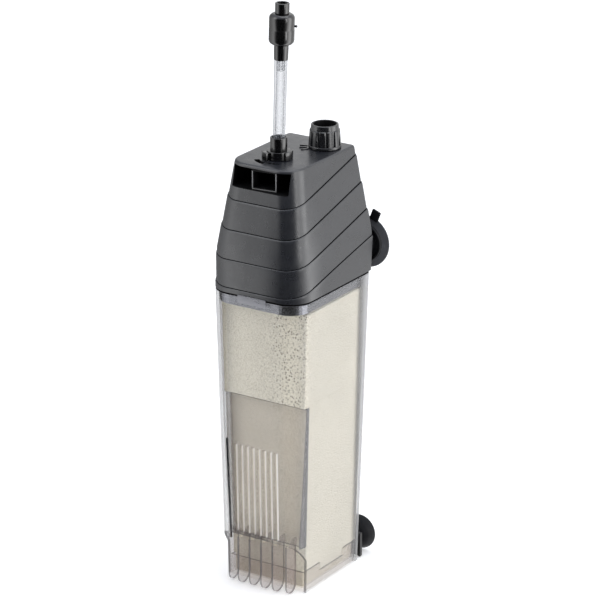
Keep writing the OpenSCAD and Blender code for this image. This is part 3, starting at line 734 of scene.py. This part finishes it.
def make_head():
    ob = boolean(head_outer(), head_hollow())
    ring = [(SCREW_R, 0), (POST_R, 0), (POST_R, POST_H), (0, POST_H)]
    ring += [(0, SCREW_DEPTH), (SCREW_R, SCREW_DEPTH), (SCREW_R, 0)]
    posts = []
    for x in (-POST_X, POST_X):
        for y in POST_Y:
            posts.append(lathe("post", ring, "inner", 32, shift(x, y, POST_Z)))
    ob = boolean(ob, join("posts", posts), "UNION")
    low, high = (-POCKET_HALF, -HD - 5, POCKET_Z), (POCKET_HALF, POCKET_BACK, PLATE_Z)
    # the pocket's walls take the darker pocket material, painted shade in the recess
    pocket = box("pocket", low, high, "pocket")
    swing = rod("swing", (*TURRET, POCKET_Z), SWING_R, UP, PLATE_Z - POCKET_Z, "pocket", 64)
    ob = boolean(ob, boolean(pocket, swing, "UNION"))
    holes = [
        rod("pivot_hole", (*TURRET, PLATE_Z - 1), PIVOT_R + 0.06, UP, 6, "pocket"),
        rod("duct_hole", (*TURRET, POCKET_Z - 4), DUCT_R + 0.3, UP, 5, "pocket"),
        rod("knob_hole", (*KNOB, PLATE_Z - 1), DRUM_R + 0.09, UP, 6, "inner"),
        rod("gland_hole", (GLAND_X, HD - 10, GLAND_Z), GLAND_R + 0.1, BACK, 20, "inner"),
    ]
    for x in (-HEAD_PEG_X, HEAD_PEG_X):
        holes.append(rod("peg_hole", (x, HD - 8, CUP_Z), PEG_R + 0.1, BACK, 20, "inner"))
    # the slots' walls take the darker pocket material too, painted shade
    for r0, r1, a0, a1 in CURVED_SLOTS:
        slot = prism("arc_slot", ring_arc(r0, r1, a0, a1), PLATE_Z - 1, TOP_Z + 3, ["pocket"])
        holes.append(moved(slot, shift(*TURRET, 0)))
    ob = boolean(ob, join("holes", holes))
    dashes = []
    for a in DASH_ANGLES:
        dash = box("dash", (KNOB_R + 0.9, -DASH_HALF, -0.1), (KNOB_R + 6.5, DASH_HALF, 0.7), "black", 0.25)
        dashes.append(moved(dash, shift(*KNOB, TOP_Z) @ turned(a, "Z")))
    ob = join("head_cover", [ob] + dashes)
    bow_sides(ob)
    piece(ob, "pump_head", "head_plastic", "head_shell")


make_head()


# Clear canister, with its tab and its mouth's slope from the upper front edge and the mouth's corner
TAB = [(-0.9, -4.6), (1.0, -4.6), (1.0, -1.2), (-0.25, -1.2), (-0.25, 1.8), (-0.9, 1.8)]
SLOPE = [(0, -15), (-4, -9.5), (-9, -3.5), (-13.5, 0)]
TAB_HALF = 12


def make_canister():
    counts = {"corner": 16, "side": 26, "front": 40}
    profile = [(0, 0.3), (0.3, 0)] + [(z, 0) for z in np.linspace(20, CAN_H - 20, 8)]
    profile += [(CAN_H - 0.5, 0), (CAN_H - 0.15, 0.15), (CAN_H, 0.5)]
    rings = [at_height(can_outline(z, inset, **counts), z) for z, inset in profile]
    ob = loft("clear_canister", rings, ["clear"])
    ob = boolean(ob, can_loft("hollow", -1, CAN_H + 1, WALL, ["clear"], **counts))
    tab = prism("tab", [(-HD + y, CAN_H + z) for y, z in TAB], -TAB_HALF, TAB_HALF, ["tab"], "X")
    ob = boolean(ob, bevel(tab, 0.2), "UNION")
    front = -HD - 6
    mouth = [(front, -2), (MOUTH_Y, -2)] + [(MOUTH_Y + y, MOUTH_H + z) for y, z in SLOPE] + [(front, MOUTH_H)]
    ob = boolean(ob, prism("mouth", mouth, -WIDE, WIDE, ["edge"], "X"))
    cuts = []
    for i in range(SLOT_N):
        x = (i - (SLOT_N - 1) / 2) * FIN_PITCH / 2
        z0 = MOUTH_H + SLOT_BAR
        cut = box("slot", (x - SLOT_W / 2, -HD - 2, z0), (x + SLOT_W / 2, -HD + 11, z0 + SLOT_LEN), "clear")
        # painted reflection: the slot faces that look towards +X are near white, the bright room reflected in
        # them
        repaint(cut, "slot", lambda f: f.normal.x > 0.5)
        cuts.append(cut)
    for x in (-FOOT_PEG_X, FOOT_PEG_X):
        cuts.append(rod("peg_hole", (x, HD - 12, FOOT_PEG_Z), PEG_R + 0.1, BACK, 24, "edge", 32))
    ob = boolean(ob, join("cuts", cuts))
    # the upper rim reads as a grey line when the head is off
    repaint(ob, "tab", lambda f: f.normal.z > 0.5 and f.center.z > (CAN_H - 1) * MM)
    piece(ob, "canister", "clear_plastic", "canister")


make_canister()


# Smoked tray and intake piece
TRAY_GAP, TRAY_INNER, TRAY_FLOOR = 0.25, 1.85, 2.4
GUIDE_Z, GUIDE_BACK, SIDE_GAP = 36, MOUTH_Y + 1.2, 0.3
MARGIN, MARGIN_W, LINE_H = 4.2, 4.18, 0.9
FIN_BACK, FIN_ROOT = MOUTH_Y - 0.25, MOUTH_Y + 0.6
DARK_STRIP_X, DARK_STRIP_Z, DARK_STRIP_LEAN = 2.5 * FIN_PITCH + 1.5, MOUTH_H - 7, -2.3


def make_tray():
    ob = can_loft("smoked_tray", 0, TRAY_H, WALL + TRAY_GAP, ["smoked"], 4)
    hollow = can_loft("hollow", TRAY_FLOOR, TRAY_H + 1, WALL + TRAY_INNER, ["smoked"], 3)
    hollow = boolean(hollow, box("wall", (-HW, MOUTH_Y - 20, 0), (HW, MOUTH_Y + 1.6, TRAY_H + 3), "smoked"))
    ob = boolean(ob, hollow)
    ob = boolean(ob, box("front", (-HW - 5, MOUTH_Y - 40, -2), (HW + 5, MOUTH_Y, TRAY_H + 3), "smoked"))
    ob = boolean(ob, box("low", (-HW - 5, -8, TRAY_LOW), (HW + 5, 24, TRAY_H + 3), "smoked"))
    # the rim's upper edge reads as a dark line
    repaint(ob, "smoked_edge", lambda f: f.center.z > 9 * MM and abs(f.normal.z) > 0.7)
    piece(ob, "canister", "smoked_plastic", "base_tray")


def fin_outline(y0):
    """A fin from the side, its foot rounded in the open mouth."""
    r = (FIN_BACK - y0) / 2
    foot = [(y0 + r - r * math.cos(a), 0.4 + r - r * math.sin(a)) for a in swept(0, 180, 25)]
    return foot + [
        (FIN_BACK, 37), (FIN_ROOT, 37), (FIN_ROOT, MOUTH_H + 2),
        (MOUTH_Y - 4, MOUTH_H + 2), (MOUTH_Y - 9, MOUTH_H - 4.2), (y0, MOUTH_H - 1.4),
    ]


def inner_y(x, z):
    """Where the inside of the canister's front wall is."""
    k = taper(z) + WALL
    r = CORNER_R - k * 0.75
    d = max(x - HW + k + r, 0.0)
    return -HD + k + r - math.sqrt(r * r - d * d)


def make_intake():
    foot, head = (HW - (taper(z) + WALL + SIDE_GAP) for z in (GUIDE_Z, GUIDE_H))
    low, high, face = GUIDE_Z, GUIDE_H - LINE_H, GUIDE_BACK - GUIDE_T
    shape = [(-foot + MARGIN, low), (foot, low), (head, high), (-head + MARGIN, high)]
    plate = prism("smoked_intake", shape, face, GUIDE_BACK, ["smoked", "smoked_edge"], "Y")
    # no dark line where the margin starts
    repaint(plate, "smoked", lambda f: f.normal.x < -0.9)
    shape = [(-foot, low), (-foot + MARGIN_W, low), (-head + MARGIN_W, high), (-head, high)]
    margin = prism("margin", shape, face, GUIDE_BACK, ["smoked_margin"], "Y")
    parts = [plate, margin, box("edge", (-head, face, high), (head, GUIDE_BACK, GUIDE_H), "smoked_line")]
    inset = WALL + SIDE_GAP
    sleeve = can_loft("flange", GUIDE_Z, GUIDE_H, inset, ["smoked_flange"])
    sleeve = boolean(sleeve, can_loft("core", 30, GUIDE_H + 1, inset + FLANGE_T, ["smoked_flange"]))
    shape = [(MOUTH_Y + 2.6, 35), (MOUTH_Y + 2.6, GUIDE_H + 1), (MOUTH_Y + 0.2, GUIDE_H + 1)]
    shape += [(MOUTH_Y - 4, MOUTH_H + 1), (MOUTH_Y - 4, 35)]
    wedge = prism("wedge", shape, -WIDE, WIDE, ["smoked_flange"], "X")
    flanges = boolean(sleeve, wedge, "INTERSECT")
    # the left one is seen along its face and stays light
    repaint(flanges, "smoked", lambda f: f.center.x < 0)
    parts.append(flanges)
    for i in np.arange(-2.5, 3.0):
        y0 = FIN_Y + 3 if abs(i) > 2 else FIN_Y
        x = i * FIN_PITCH
        fin = prism("fin", fin_outline(y0), x - FIN_T / 2, x + FIN_T / 2, ["fin", "smoked_edge"], "X")
        # only the edge in the open mouth reads as a dark line
        repaint(fin, "fin", lambda f: f.center.z > (MOUTH_H - 6) * MM)
        parts.append(fin)
    # painted reflection: a dark strip inside the front wall, left of the slots, stands for a dark reflection
    # in the wall
    dark_strip = box("dark_strip", (0, 0, 0), (1.4, 1.2, SLOT_LEN + SLOT_BAR + 7), "dark_strip", 0.3)
    place = shift(-DARK_STRIP_X, inner_y(DARK_STRIP_X, DARK_STRIP_Z) + 0.8, DARK_STRIP_Z)
    parts.append(moved(dark_strip, place @ turned(DARK_STRIP_LEAN, "Y")))
    piece(join("smoked_intake", parts), "canister", "smoked_plastic", "intake_guide")


make_tray()
make_intake()


# Foam, with open pores in its surface
PORE_DEPTH, PORE_SIZE, PORE_EDGE = 0.2, 2.0, 0.42
SWELL, SWELL_SCALE, FOAM_SMOOTH = 0.1, 60.0, 60.0


def pitted(ob):
    """Presses small pores into a mesh, inwards only."""
    me = ob.data
    normals = [v.normal.copy() for v in me.vertices]
    for v, n in zip(me.vertices, normals):
        distance = noise.voronoi(v.co * (1 / (PORE_SIZE * MM)))[0][0]
        swell = noise.noise(v.co * SWELL_SCALE)
        v.co -= n * (PORE_DEPTH * MM * max(0.0, 1 - distance / PORE_EDGE) + SWELL * MM * (swell + 1) * 0.5)
    return finish_mesh(ob, FOAM_SMOOTH)


def foam_rings(levels, front):
    rings = []
    for z, inset in levels:
        k = taper(z) + inset
        p = outline(HW - k, HW - k, front, HD - k, 1.2, 2.0, corner=8, side=70, front=64)
        rings.append(at_height(p, z))
    return rings


def make_foam():
    inset, seam = WALL + 0.5, GUIDE_H + 0.7
    low = [(2.8, WALL + 3.0), (3.4, WALL + 2.4)] + [(z, WALL + 2.4) for z in np.linspace(5, TRAY_H + 0.8, 9)]
    low += [(z, inset) for z in np.linspace(TRAY_H + 1.0, seam - 0.05, 98)] + [(seam - 0.03, inset)]
    ob = pitted(loft("sponge_lower", foam_rings(low, MOUTH_Y + 2.9), ["foam"]))
    piece(ob, "canister", "foam", "foam_lower")
    high = [(seam + 0.01, inset)] + [(z, inset) for z in np.linspace(seam + 0.03, FOAM_TOP - 0.8, 56)]
    high += [(FOAM_TOP, inset + 0.8)]
    ob = pitted(loft("sponge_upper", foam_rings(high, MOUTH_Y - 3.4), ["foam"]))
    piece(ob, "canister", "foam", "foam_upper")


make_foam()


# Suction cups and their brackets
FOOT_CLIP_LOW, FOOT_CLIP_HIGH = 0.6, 19.6


def on_glass(x, z):
    """Stands a lathed cup on the glass plane, its height towards the filter."""
    return shift(x, GLASS_Y, z) @ turned(90, "X")


def make_cups():
    r, stud = CUP_R, NECK_R + 1.4
    big = [(0, 2.4), (13, 1.8), (r, 0), (r, 0.9), (r - 4.8, 3.2), (r - 5.2, 5.4), (r - 6.3, 5.4)]
    big += [(r - 6.8, 3.8), (8.8, 3.8), (8.3, 6.2), (NECK_R, 6.2), (NECK_R, 9.05)]
    big += [(stud, 9.05), (stud, 10.6), (0, 10.6)]
    parts = []
    for s in (-1, 1):
        cup = lathe("cup", fillet(big, 0.55), "rubber", 96)
        # the sloped rim is painted lighter: a painted highlight
        repaint(cup, "rubber_rim", lambda f: f.center.xy.length > (CUP_R - 4.6) * MM and f.normal.z > 0.3)
        tab = box("tab", (CUP_R - 1.6, -3.6, 0.1), (CUP_R + 6.8, 3.6, 2.0), "rubber", 0.7)
        moved(tab, turned(90 - s * 21, "Z"))
        parts.append(moved(boolean(cup, tab, "UNION"), on_glass(s * CUP_X, CUP_Z)))
    piece(join("head_suction_cups", parts), "pump_head", "cup_rubber", "head_cups")

    r, reach, stud = FOOT_CUP_R, GLASS_Y - HD + DRAFT - 0.85, NECK_R + 1.2
    small = [(0, 3), (9, 2.1), (r, 0), (r, 0.8), (r - 0.9, 2.9), (r - 2.6, 5.6), (r - 4.9, 8), (r - 7.4, 9.8)]
    small += [(NECK_R + 1.6, reach - 3.2), (NECK_R, reach - 3.2), (NECK_R, reach - 0.95)]
    small += [(stud, reach - 0.95), (stud, reach), (0, reach)]
    parts = [
        lathe("cup", fillet(small, 0.9), "rubber", 96, on_glass(s * FOOT_CUP_X, FOOT_CUP_Z)) for s in (-1, 1)
    ]
    piece(join("foot_suction_cups", parts), "canister", "cup_rubber", "foot_cups")


def pierced(plate, x, y, z, axis):
    """Cuts the holes for the necks of two cups into a bracket's plate."""
    cuts = [rod("hole", (s * x, y, z), NECK_R + 0.2, axis, 20, "bracket") for s in (-1, 1)]
    return boolean(plate, join("holes", cuts))


def make_brackets():
    y, low, high = HD - DRAFT, FOOT_CLIP_LOW, FOOT_CLIP_HIGH
    half = HW - DRAFT - 0.6
    plate = box("foot_clip", (-half, y + 1.9, low), (half, y + 3.9, high), "bracket", 0.45)
    parts = [pierced(plate, FOOT_CUP_X, y - 10, FOOT_CUP_Z, BACK)]
    for s in (-1, 1):
        x = s * (HW - DRAFT - 1.6)
        parts.append(box("spacer", (x - 1, y + 0.75, low), (x + 1, y + 2.2, high), "bracket", 0.2))
        parts.append(rod("peg", (s * FOOT_PEG_X, y + 2.5, FOOT_PEG_Z), PEG_R, FRONT, 4.6, "bracket", 32))
    piece(join("foot_clip", parts), "canister", "bracket_black", "foot_bracket")

    half, y = CUP_X + 9, GLASS_Y - 8
    low, high = (-half, GLASS_Y - 8.9, CUP_Z - 8), (half, GLASS_Y - 6.6, CUP_Z + 8)
    plate = box("head_clip", low, high, "bracket", 0.6)
    parts = [pierced(plate, CUP_X, GLASS_Y, CUP_Z, FRONT)]
    for s in (-1, 1):
        parts.append(rod("peg", (s * HEAD_PEG_X, y, CUP_Z), PEG_R, FRONT, y - HD + 5, "bracket", 32))
    piece(join("head_clip", parts), "pump_head", "bracket_black", "cup_bracket")


make_cups()
make_brackets()


# Knob, nozzle, turret, pipe and air valve
KNOB_FOOT, FLUTE_START = 2.2, 8


def make_knob():
    segments, verts, faces, indices = 20 * FLUTES, [], [], []
    z0, fluted, top = TOP_Z + 0.3, KNOB_FOOT + KNOB_H * 0.66, KNOB_R - 1.9

    def outer(z, a):
        body = KNOB_R - 0.2 - 0.8 * (z - KNOB_FOOT) / (fluted - KNOB_FOOT)
        step = 2 * math.pi / FLUTES
        d = (a - math.radians(FLUTE_START) + step / 2) % step - step / 2
        side = (KNOB_R - 0.3) * math.sin(d)
        if abs(side) < FLUTE_R:
            return min(body, (KNOB_R - 0.3) * math.cos(d) - math.sqrt(FLUTE_R ** 2 - side ** 2))
        return body

    def plain(levels):
        return [[(r, z)] * segments for r, z in levels]

    angles = [2 * math.pi * i / segments for i in range(segments)]
    rings = plain([(KNOB_R - 0.35, 0.0), (KNOB_R, 0.35), (KNOB_R, 1.8), (KNOB_R - 0.3, KNOB_FOOT)])
    for z in (2.25, 3.0, 6.0, 9.0, 12.0, fluted - 0.6, fluted):
        inset = 0.5 if z == fluted else 0.0
        rings.append([(max(outer(z, a) - inset, top), z) for a in angles])
    rings += plain([(top + 0.2, fluted + 0.1), (top, KNOB_H - 0.7)])
    rings += plain([(top - 0.2, KNOB_H - 0.2), (top - 0.7, KNOB_H)])
    bore = len(rings)
    rings += plain([(DRUM_R + 0.5, KNOB_H), (DRUM_R, KNOB_H - 0.5), (DRUM_R, KNOB_H - 8.6)])
    rings += plain([(DRUM_R - 1.4, KNOB_H - 8.6), (DRUM_R - 1.4, 5.0)])
    rings += plain([(DRUM_R + 0.05, 5.0), (DRUM_R + 0.05, 0.0)])
    for ring in rings:
        for (r, z), a in zip(ring, angles):
            verts.append((KNOB[0] + r * math.cos(a), KNOB[1] + r * math.sin(a), z0 + z))
    for k in range(len(rings)):
        n = (k + 1) % len(rings)
        for i in range(segments):
            j = (i + 1) % segments
            faces.append((k * segments + i, k * segments + j, n * segments + j, n * segments + i))
            indices.append(1 if k >= bore else 0)
    # the knob's bore takes the darker pocket material, painted shade in the recess
    knob = add_mesh("knob", verts, faces, ["knob", "pocket"], indices)
    piece(knob, "regulator", "black_gloss", "regulator_knob")


def make_nozzle():
    tall, w, wall, step, rim = 14.6, NOZZLE_W / 2, 1.3, 0.8, 0.9
    barrel = lathe("nozzle", fillet([(0, 0), (10, 0), (10, tall), (0, tall)], 0.5), "pocket", 72)
    mouth = box("mouth", (-w, -NOZZLE_REACH, 0), (w, 0, tall), "pocket")
    # the front faces are painted light grey: a painted highlight
    repaint(mouth, "rim", lambda f: f.normal.y < -0.9)
    ob = boolean(barrel, mouth, "UNION")
    front = -NOZZLE_REACH - 1
    ob = boolean(ob, box("way", (-w + wall, front, wall), (w - wall, -6, 13.3), "pocket"))
    lip = box("step", (-w + step, front, step), (w - step, -NOZZLE_REACH + 0.3, tall - step), "pocket")
    ob = boolean(ob, lip)
    rise = rod("rise", (0, 0, -1), 6.8, UP, 13, "pocket")
    ob = boolean(ob, boolean(rise, box("turn", (-6, -8, wall), (6, 0, 11.3), "pocket"), "UNION"))
    ob = boolean(ob, rod("air", (0, 0, -1), AIR_R, UP, 20, "pocket", 24))
    # the light rim, a painted highlight, runs along the sides and the bottom of the mouth only
    bm = bmesh.new()
    bm.from_mesh(ob.data)
    every = bm.verts[:] + bm.edges[:] + bm.faces[:]
    bmesh.ops.bisect_plane(bm, geom=every, plane_co=(0, 0, (tall - rim) * MM), plane_no=UP)
    for f in bm.faces:
        if f.normal.y < -0.9 and f.calc_center_median().z > (tall - rim) * MM:
            f.material_index = 0
    bm.to_mesh(ob.data)
    bm.free()
    moved(ob, shift(*TURRET, POCKET_Z + 0.4) @ turned(NOZZLE_YAW, "Z"))
    ob.name = "nozzle"
    piece(ob, "nozzle", "black_gloss", "nozzle_spout")


COLLAR_R, LEVER_R, LEVER_FROM, LEVER_TO = 8.7, 12.2, 212, 256


def make_turret():
    z, low = TOP_Z + 0.3, POCKET_Z + 15
    profile = [(AIR_R, low), (PIVOT_R, low), (PIVOT_R, z), (COLLAR_R, z), (COLLAR_R, SOCKET_Z)]
    profile += [(AIR_R, SOCKET_Z), (AIR_R, low)]
    parts = [lathe("turret", fillet(profile, 0.5), "black", 72)]
    lever = []
    for a in np.linspace(LEVER_FROM, LEVER_TO, 89):
        r = LEVER_R - 0.4 * (0.5 + 0.5 * math.cos(math.radians((a - 216) * 60)))
        lever.append((r * math.cos(math.radians(a)), r * math.sin(math.radians(a))))
    lever += arc(8.2, LEVER_TO, LEVER_FROM, 20)
    parts.append(bevel(prism("lever", lever, z, z + 5.4, ["black"]), 0.25))
    parts.append(bevel(prism("lip", ring_arc(8.4, 10.3, -28, 42), z, z + 6, ["black"]), 0.35))
    ob = join("turret", parts)
    piece(moved(ob, shift(*TURRET, 0)), "nozzle", "black_gloss", "turret_collar")
    bore = PIPE_R + 0.55
    profile = [(AIR_R, 0), (6.2, 0), (6.2, 9.8), (bore, 9.8), (bore, 2.4), (AIR_R, 2.4), (AIR_R, 0)]
    ob = lathe("socket", fillet(profile, 0.45), "black", 64, shift(*TURRET, SOCKET_Z))
    piece(ob, "nozzle", "black_gloss", "pipe_socket")


def make_air_parts():
    bore, plug = PIPE_R - 1.2, PIPE_R - 1.25
    profile = [(bore, 0), (PIPE_R, 0), (PIPE_R + 0.35, PIPE_LEN), (bore, PIPE_LEN), (bore, 0)]
    ob = lathe("riser_pipe", fillet(profile, 0.25), "pipe", 64, LEAN @ shift(0, 0, PIPE_Z))
    piece(ob, "nozzle", "clear_plastic", "air_pipe")
    profile = [(AIR_R, -8), (plug, -8), (plug, 0.05), (5.1, 0.05), (5.3, 11.05), (STEM_R, 11.05)]
    profile += [(STEM_R, 27), (AIR_R, 27), (AIR_R, -8)]
    ob = lathe("valve_neck", fillet(profile, 0.4), "black", 64)
    # the plug inside the pipe is clear
    points = ob.data.vertices
    repaint(ob, "pipe", lambda f: min(points[v].co.z for v in f.vertices) < -0.1 * MM)
    moved(ob, LEAN @ shift(0, 0, STEM_Z))
    piece(ob, "nozzle", "black_gloss", "valve_stem")
    r, c = BARREL_R, 3.4
    shell = [(STEM_R + 0.06, 16.2), (STEM_R + 0.06, 0.2), (r - c, 0.2)]
    shell += [(r - c + c * math.sin(a), 3.6 - c * math.cos(a)) for a in swept(6, 90, 10)]
    shell += [(r, 11.45), (r - 0.08, 11.6), (r, 11.75)]
    shell += [(r - c + c * math.cos(a), 19.3 + c * math.sin(a)) for a in swept(0, 90, 10)]
    shell += [(AIR_R, 22.7), (AIR_R, 16.2), (STEM_R + 0.06, 16.2)]
    place = LEAN @ shift(0, 0, BARREL_Z)
    parts = [lathe("valve_body", shell, "black", 72)]
    pin = [(0, 0), (0.6, 0), (0.6, 0.85)]
    pin += [(math.cos(a), 1.7 + math.sin(a)) for a in swept(-50, 86, 9)] + [(0, 2.7)]
    turn = turned(33, "Z") @ shift(r - 0.8, 0, 13.4) @ turned(90, "Y")
    parts.append(lathe("pin", pin, "black", 24, turn))
    piece(moved(join("valve_body", parts), place), "air_valve", "black_gloss", "valve_barrel")
    profile = [(AIR_R, 0), (5.15, 0), (5.15, 7.6), (3.6, 7.6), (3.6, 1.6), (AIR_R, 1.6), (AIR_R, 0)]
    ob = lathe("valve_top", fillet(profile, 0.5), "black", 64, LEAN @ shift(0, 0, CAP_Z))
    piece(ob, "air_valve", "black_gloss", "valve_cap")
    r = GLAND_R
    profile = [(r - 1.6, 0), (r, 0), (r, 6.6), (r + 1.9, 6.6), (r + 1.9, 9), (r, 9), (r - 0.5, 15)]
    profile += [(r - 1.6, 15), (r - 1.6, 0)]
    turn = shift(GLAND_X, HD - 9, GLAND_Z) @ turned(-90, "X")
    ob = lathe("gland", fillet(profile, 0.4), "bracket", 48, turn)
    piece(ob, "pump_head", "bracket_black", "cable_gland")


make_knob()
make_nozzle()
make_turret()
make_air_parts()

# CAD nodes that stay, with their own materials
# rim_seal, the ring in the gap under the head, takes the seal's near black as painted shade of that gap
KEPT = {
    "rim_seal": "seal", "head_base": "collar", "inlet_grid": "collar", "regulator_drum": "inner",
    "pump_volute": "inner", "impeller": "white", "rotor_magnet": "magnet", "pump_shaft": "ceramic",
    "lower_bush": "seal", "upper_bush": "seal", "motor_housing": "inner", "stator_core": "lamination",
    "stator_coil": "copper", "discharge_duct": "inner", "duct_seal": "seal", "bypass_channel": "inner",
    "cover_screws": "steel",
}
for node, key in KEPT.items():
    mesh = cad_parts[node].data
    mesh.materials.clear()
    mesh.materials.append(MAT[key])


# Floor, light and surroundings
def make_stage():
    me = bpy.data.meshes.new("floor")
    me.from_pydata([(-6, -6, 0), (6, -6, 0), (6, 6, 0), (-6, 6, 0)], [], [(0, 1, 2, 3)])
    floor = bpy.data.objects.new("floor", me)
    scene.collection.objects.link(floor)
    s = Shader("pale_floor", (0.93, 0.93, 0.93), 0.7, specular=0.1)
    s.colour(s.ramp(s.noise(3.0), [(0.3, (0.92, 0.92, 0.92)), (0.7, (0.94, 0.94, 0.94))]))
    s.bsdf.inputs["Emission Color"].default_value = (1, 1, 1, 1)
    s.bsdf.inputs["Emission Strength"].default_value = 0.32
    me.materials.append(s.mat)
    floor.visible_glossy = False


def area_light(name, place, aim, size, power):
    data = bpy.data.lights.new(name, "AREA")
    data.shape, data.size, data.size_y, data.energy = "RECTANGLE", size[0], size[1], power
    ob = bpy.data.objects.new(name, data)
    scene.collection.objects.link(ob)
    ob.location = place
    ob.rotation_euler = (Vector(aim) - Vector(place)).to_track_quat("-Z", "Y").to_euler()


# Brightness round the room by azimuth, 0 in front and 90 to the right, and the brightest of it
ROUND = [
    (-180, 1.0), (-150, 1.0), (-132, 0.5), (-112, 0.35), (-92, 0.55), (-70, 1.0), (-50, 1.55), (-37, 1.55),
    (-24, 0.4), (-12, 0.04), (4, 0.02), (54, 0.02), (74, 0.4), (92, 2.0), (106, 3.2), (120, 3.0),
    (134, 1.1), (158, 1.0), (180, 1.0),
]
ROOM = 3.2
SKY = (0.84 / ROOM, 0.88 / ROOM, 0.98 / ROOM)


def make_world():
    world = bpy.data.worlds.new("studio")
    scene.world = world
    world.use_nodes = True
    g = Graph(world.node_tree)
    g.nodes.clear()
    x, y, z = g.parts(g.node("TexCoord").outputs["Generated"])
    flip = g.node("Math", operation="MULTIPLY")
    flip.inputs[1].default_value = -1.0
    g.link(y, flip.inputs[0])
    share = g.between(g.math("ARCTAN2", x, flip.outputs[0]), 0.0, 1.0, -math.pi, math.pi)
    walls = g.ramp(share, [((azimuth + 180) / 360, (v / ROOM,) * 3) for azimuth, v in ROUND])
    room = g.node("Background", Strength=ROOM)
    g.link(g.mix(g.between(z, 0.0, 1.0, 0.35, 0.95), walls, SKY), room.inputs["Color"])
    white = g.node("Background", Color=(1, 1, 1, 1), Strength=1.0)
    mix = g.node("MixShader")
    g.link(g.node("LightPath").outputs["Is Camera Ray"], mix.inputs["Fac"])
    g.link(room.outputs["Background"], mix.inputs[1])
    g.link(white.outputs["Background"], mix.inputs[2])
    g.link(mix.outputs["Shader"], g.node("OutputWorld").inputs["Surface"])


make_stage()
make_world()
area_light("key", (-1.2, -1.6, 1.6), (0, 0, 0.2), (1.2, 1.4), 5)
area_light("strip", (1.7, -0.5, 0.7), (0, 0, 0.2), (0.4, 1.6), 6)
area_light("top", (0.2, 0.3, 2.2), (0, 0, 0.2), (1.4, 1.4), 8)
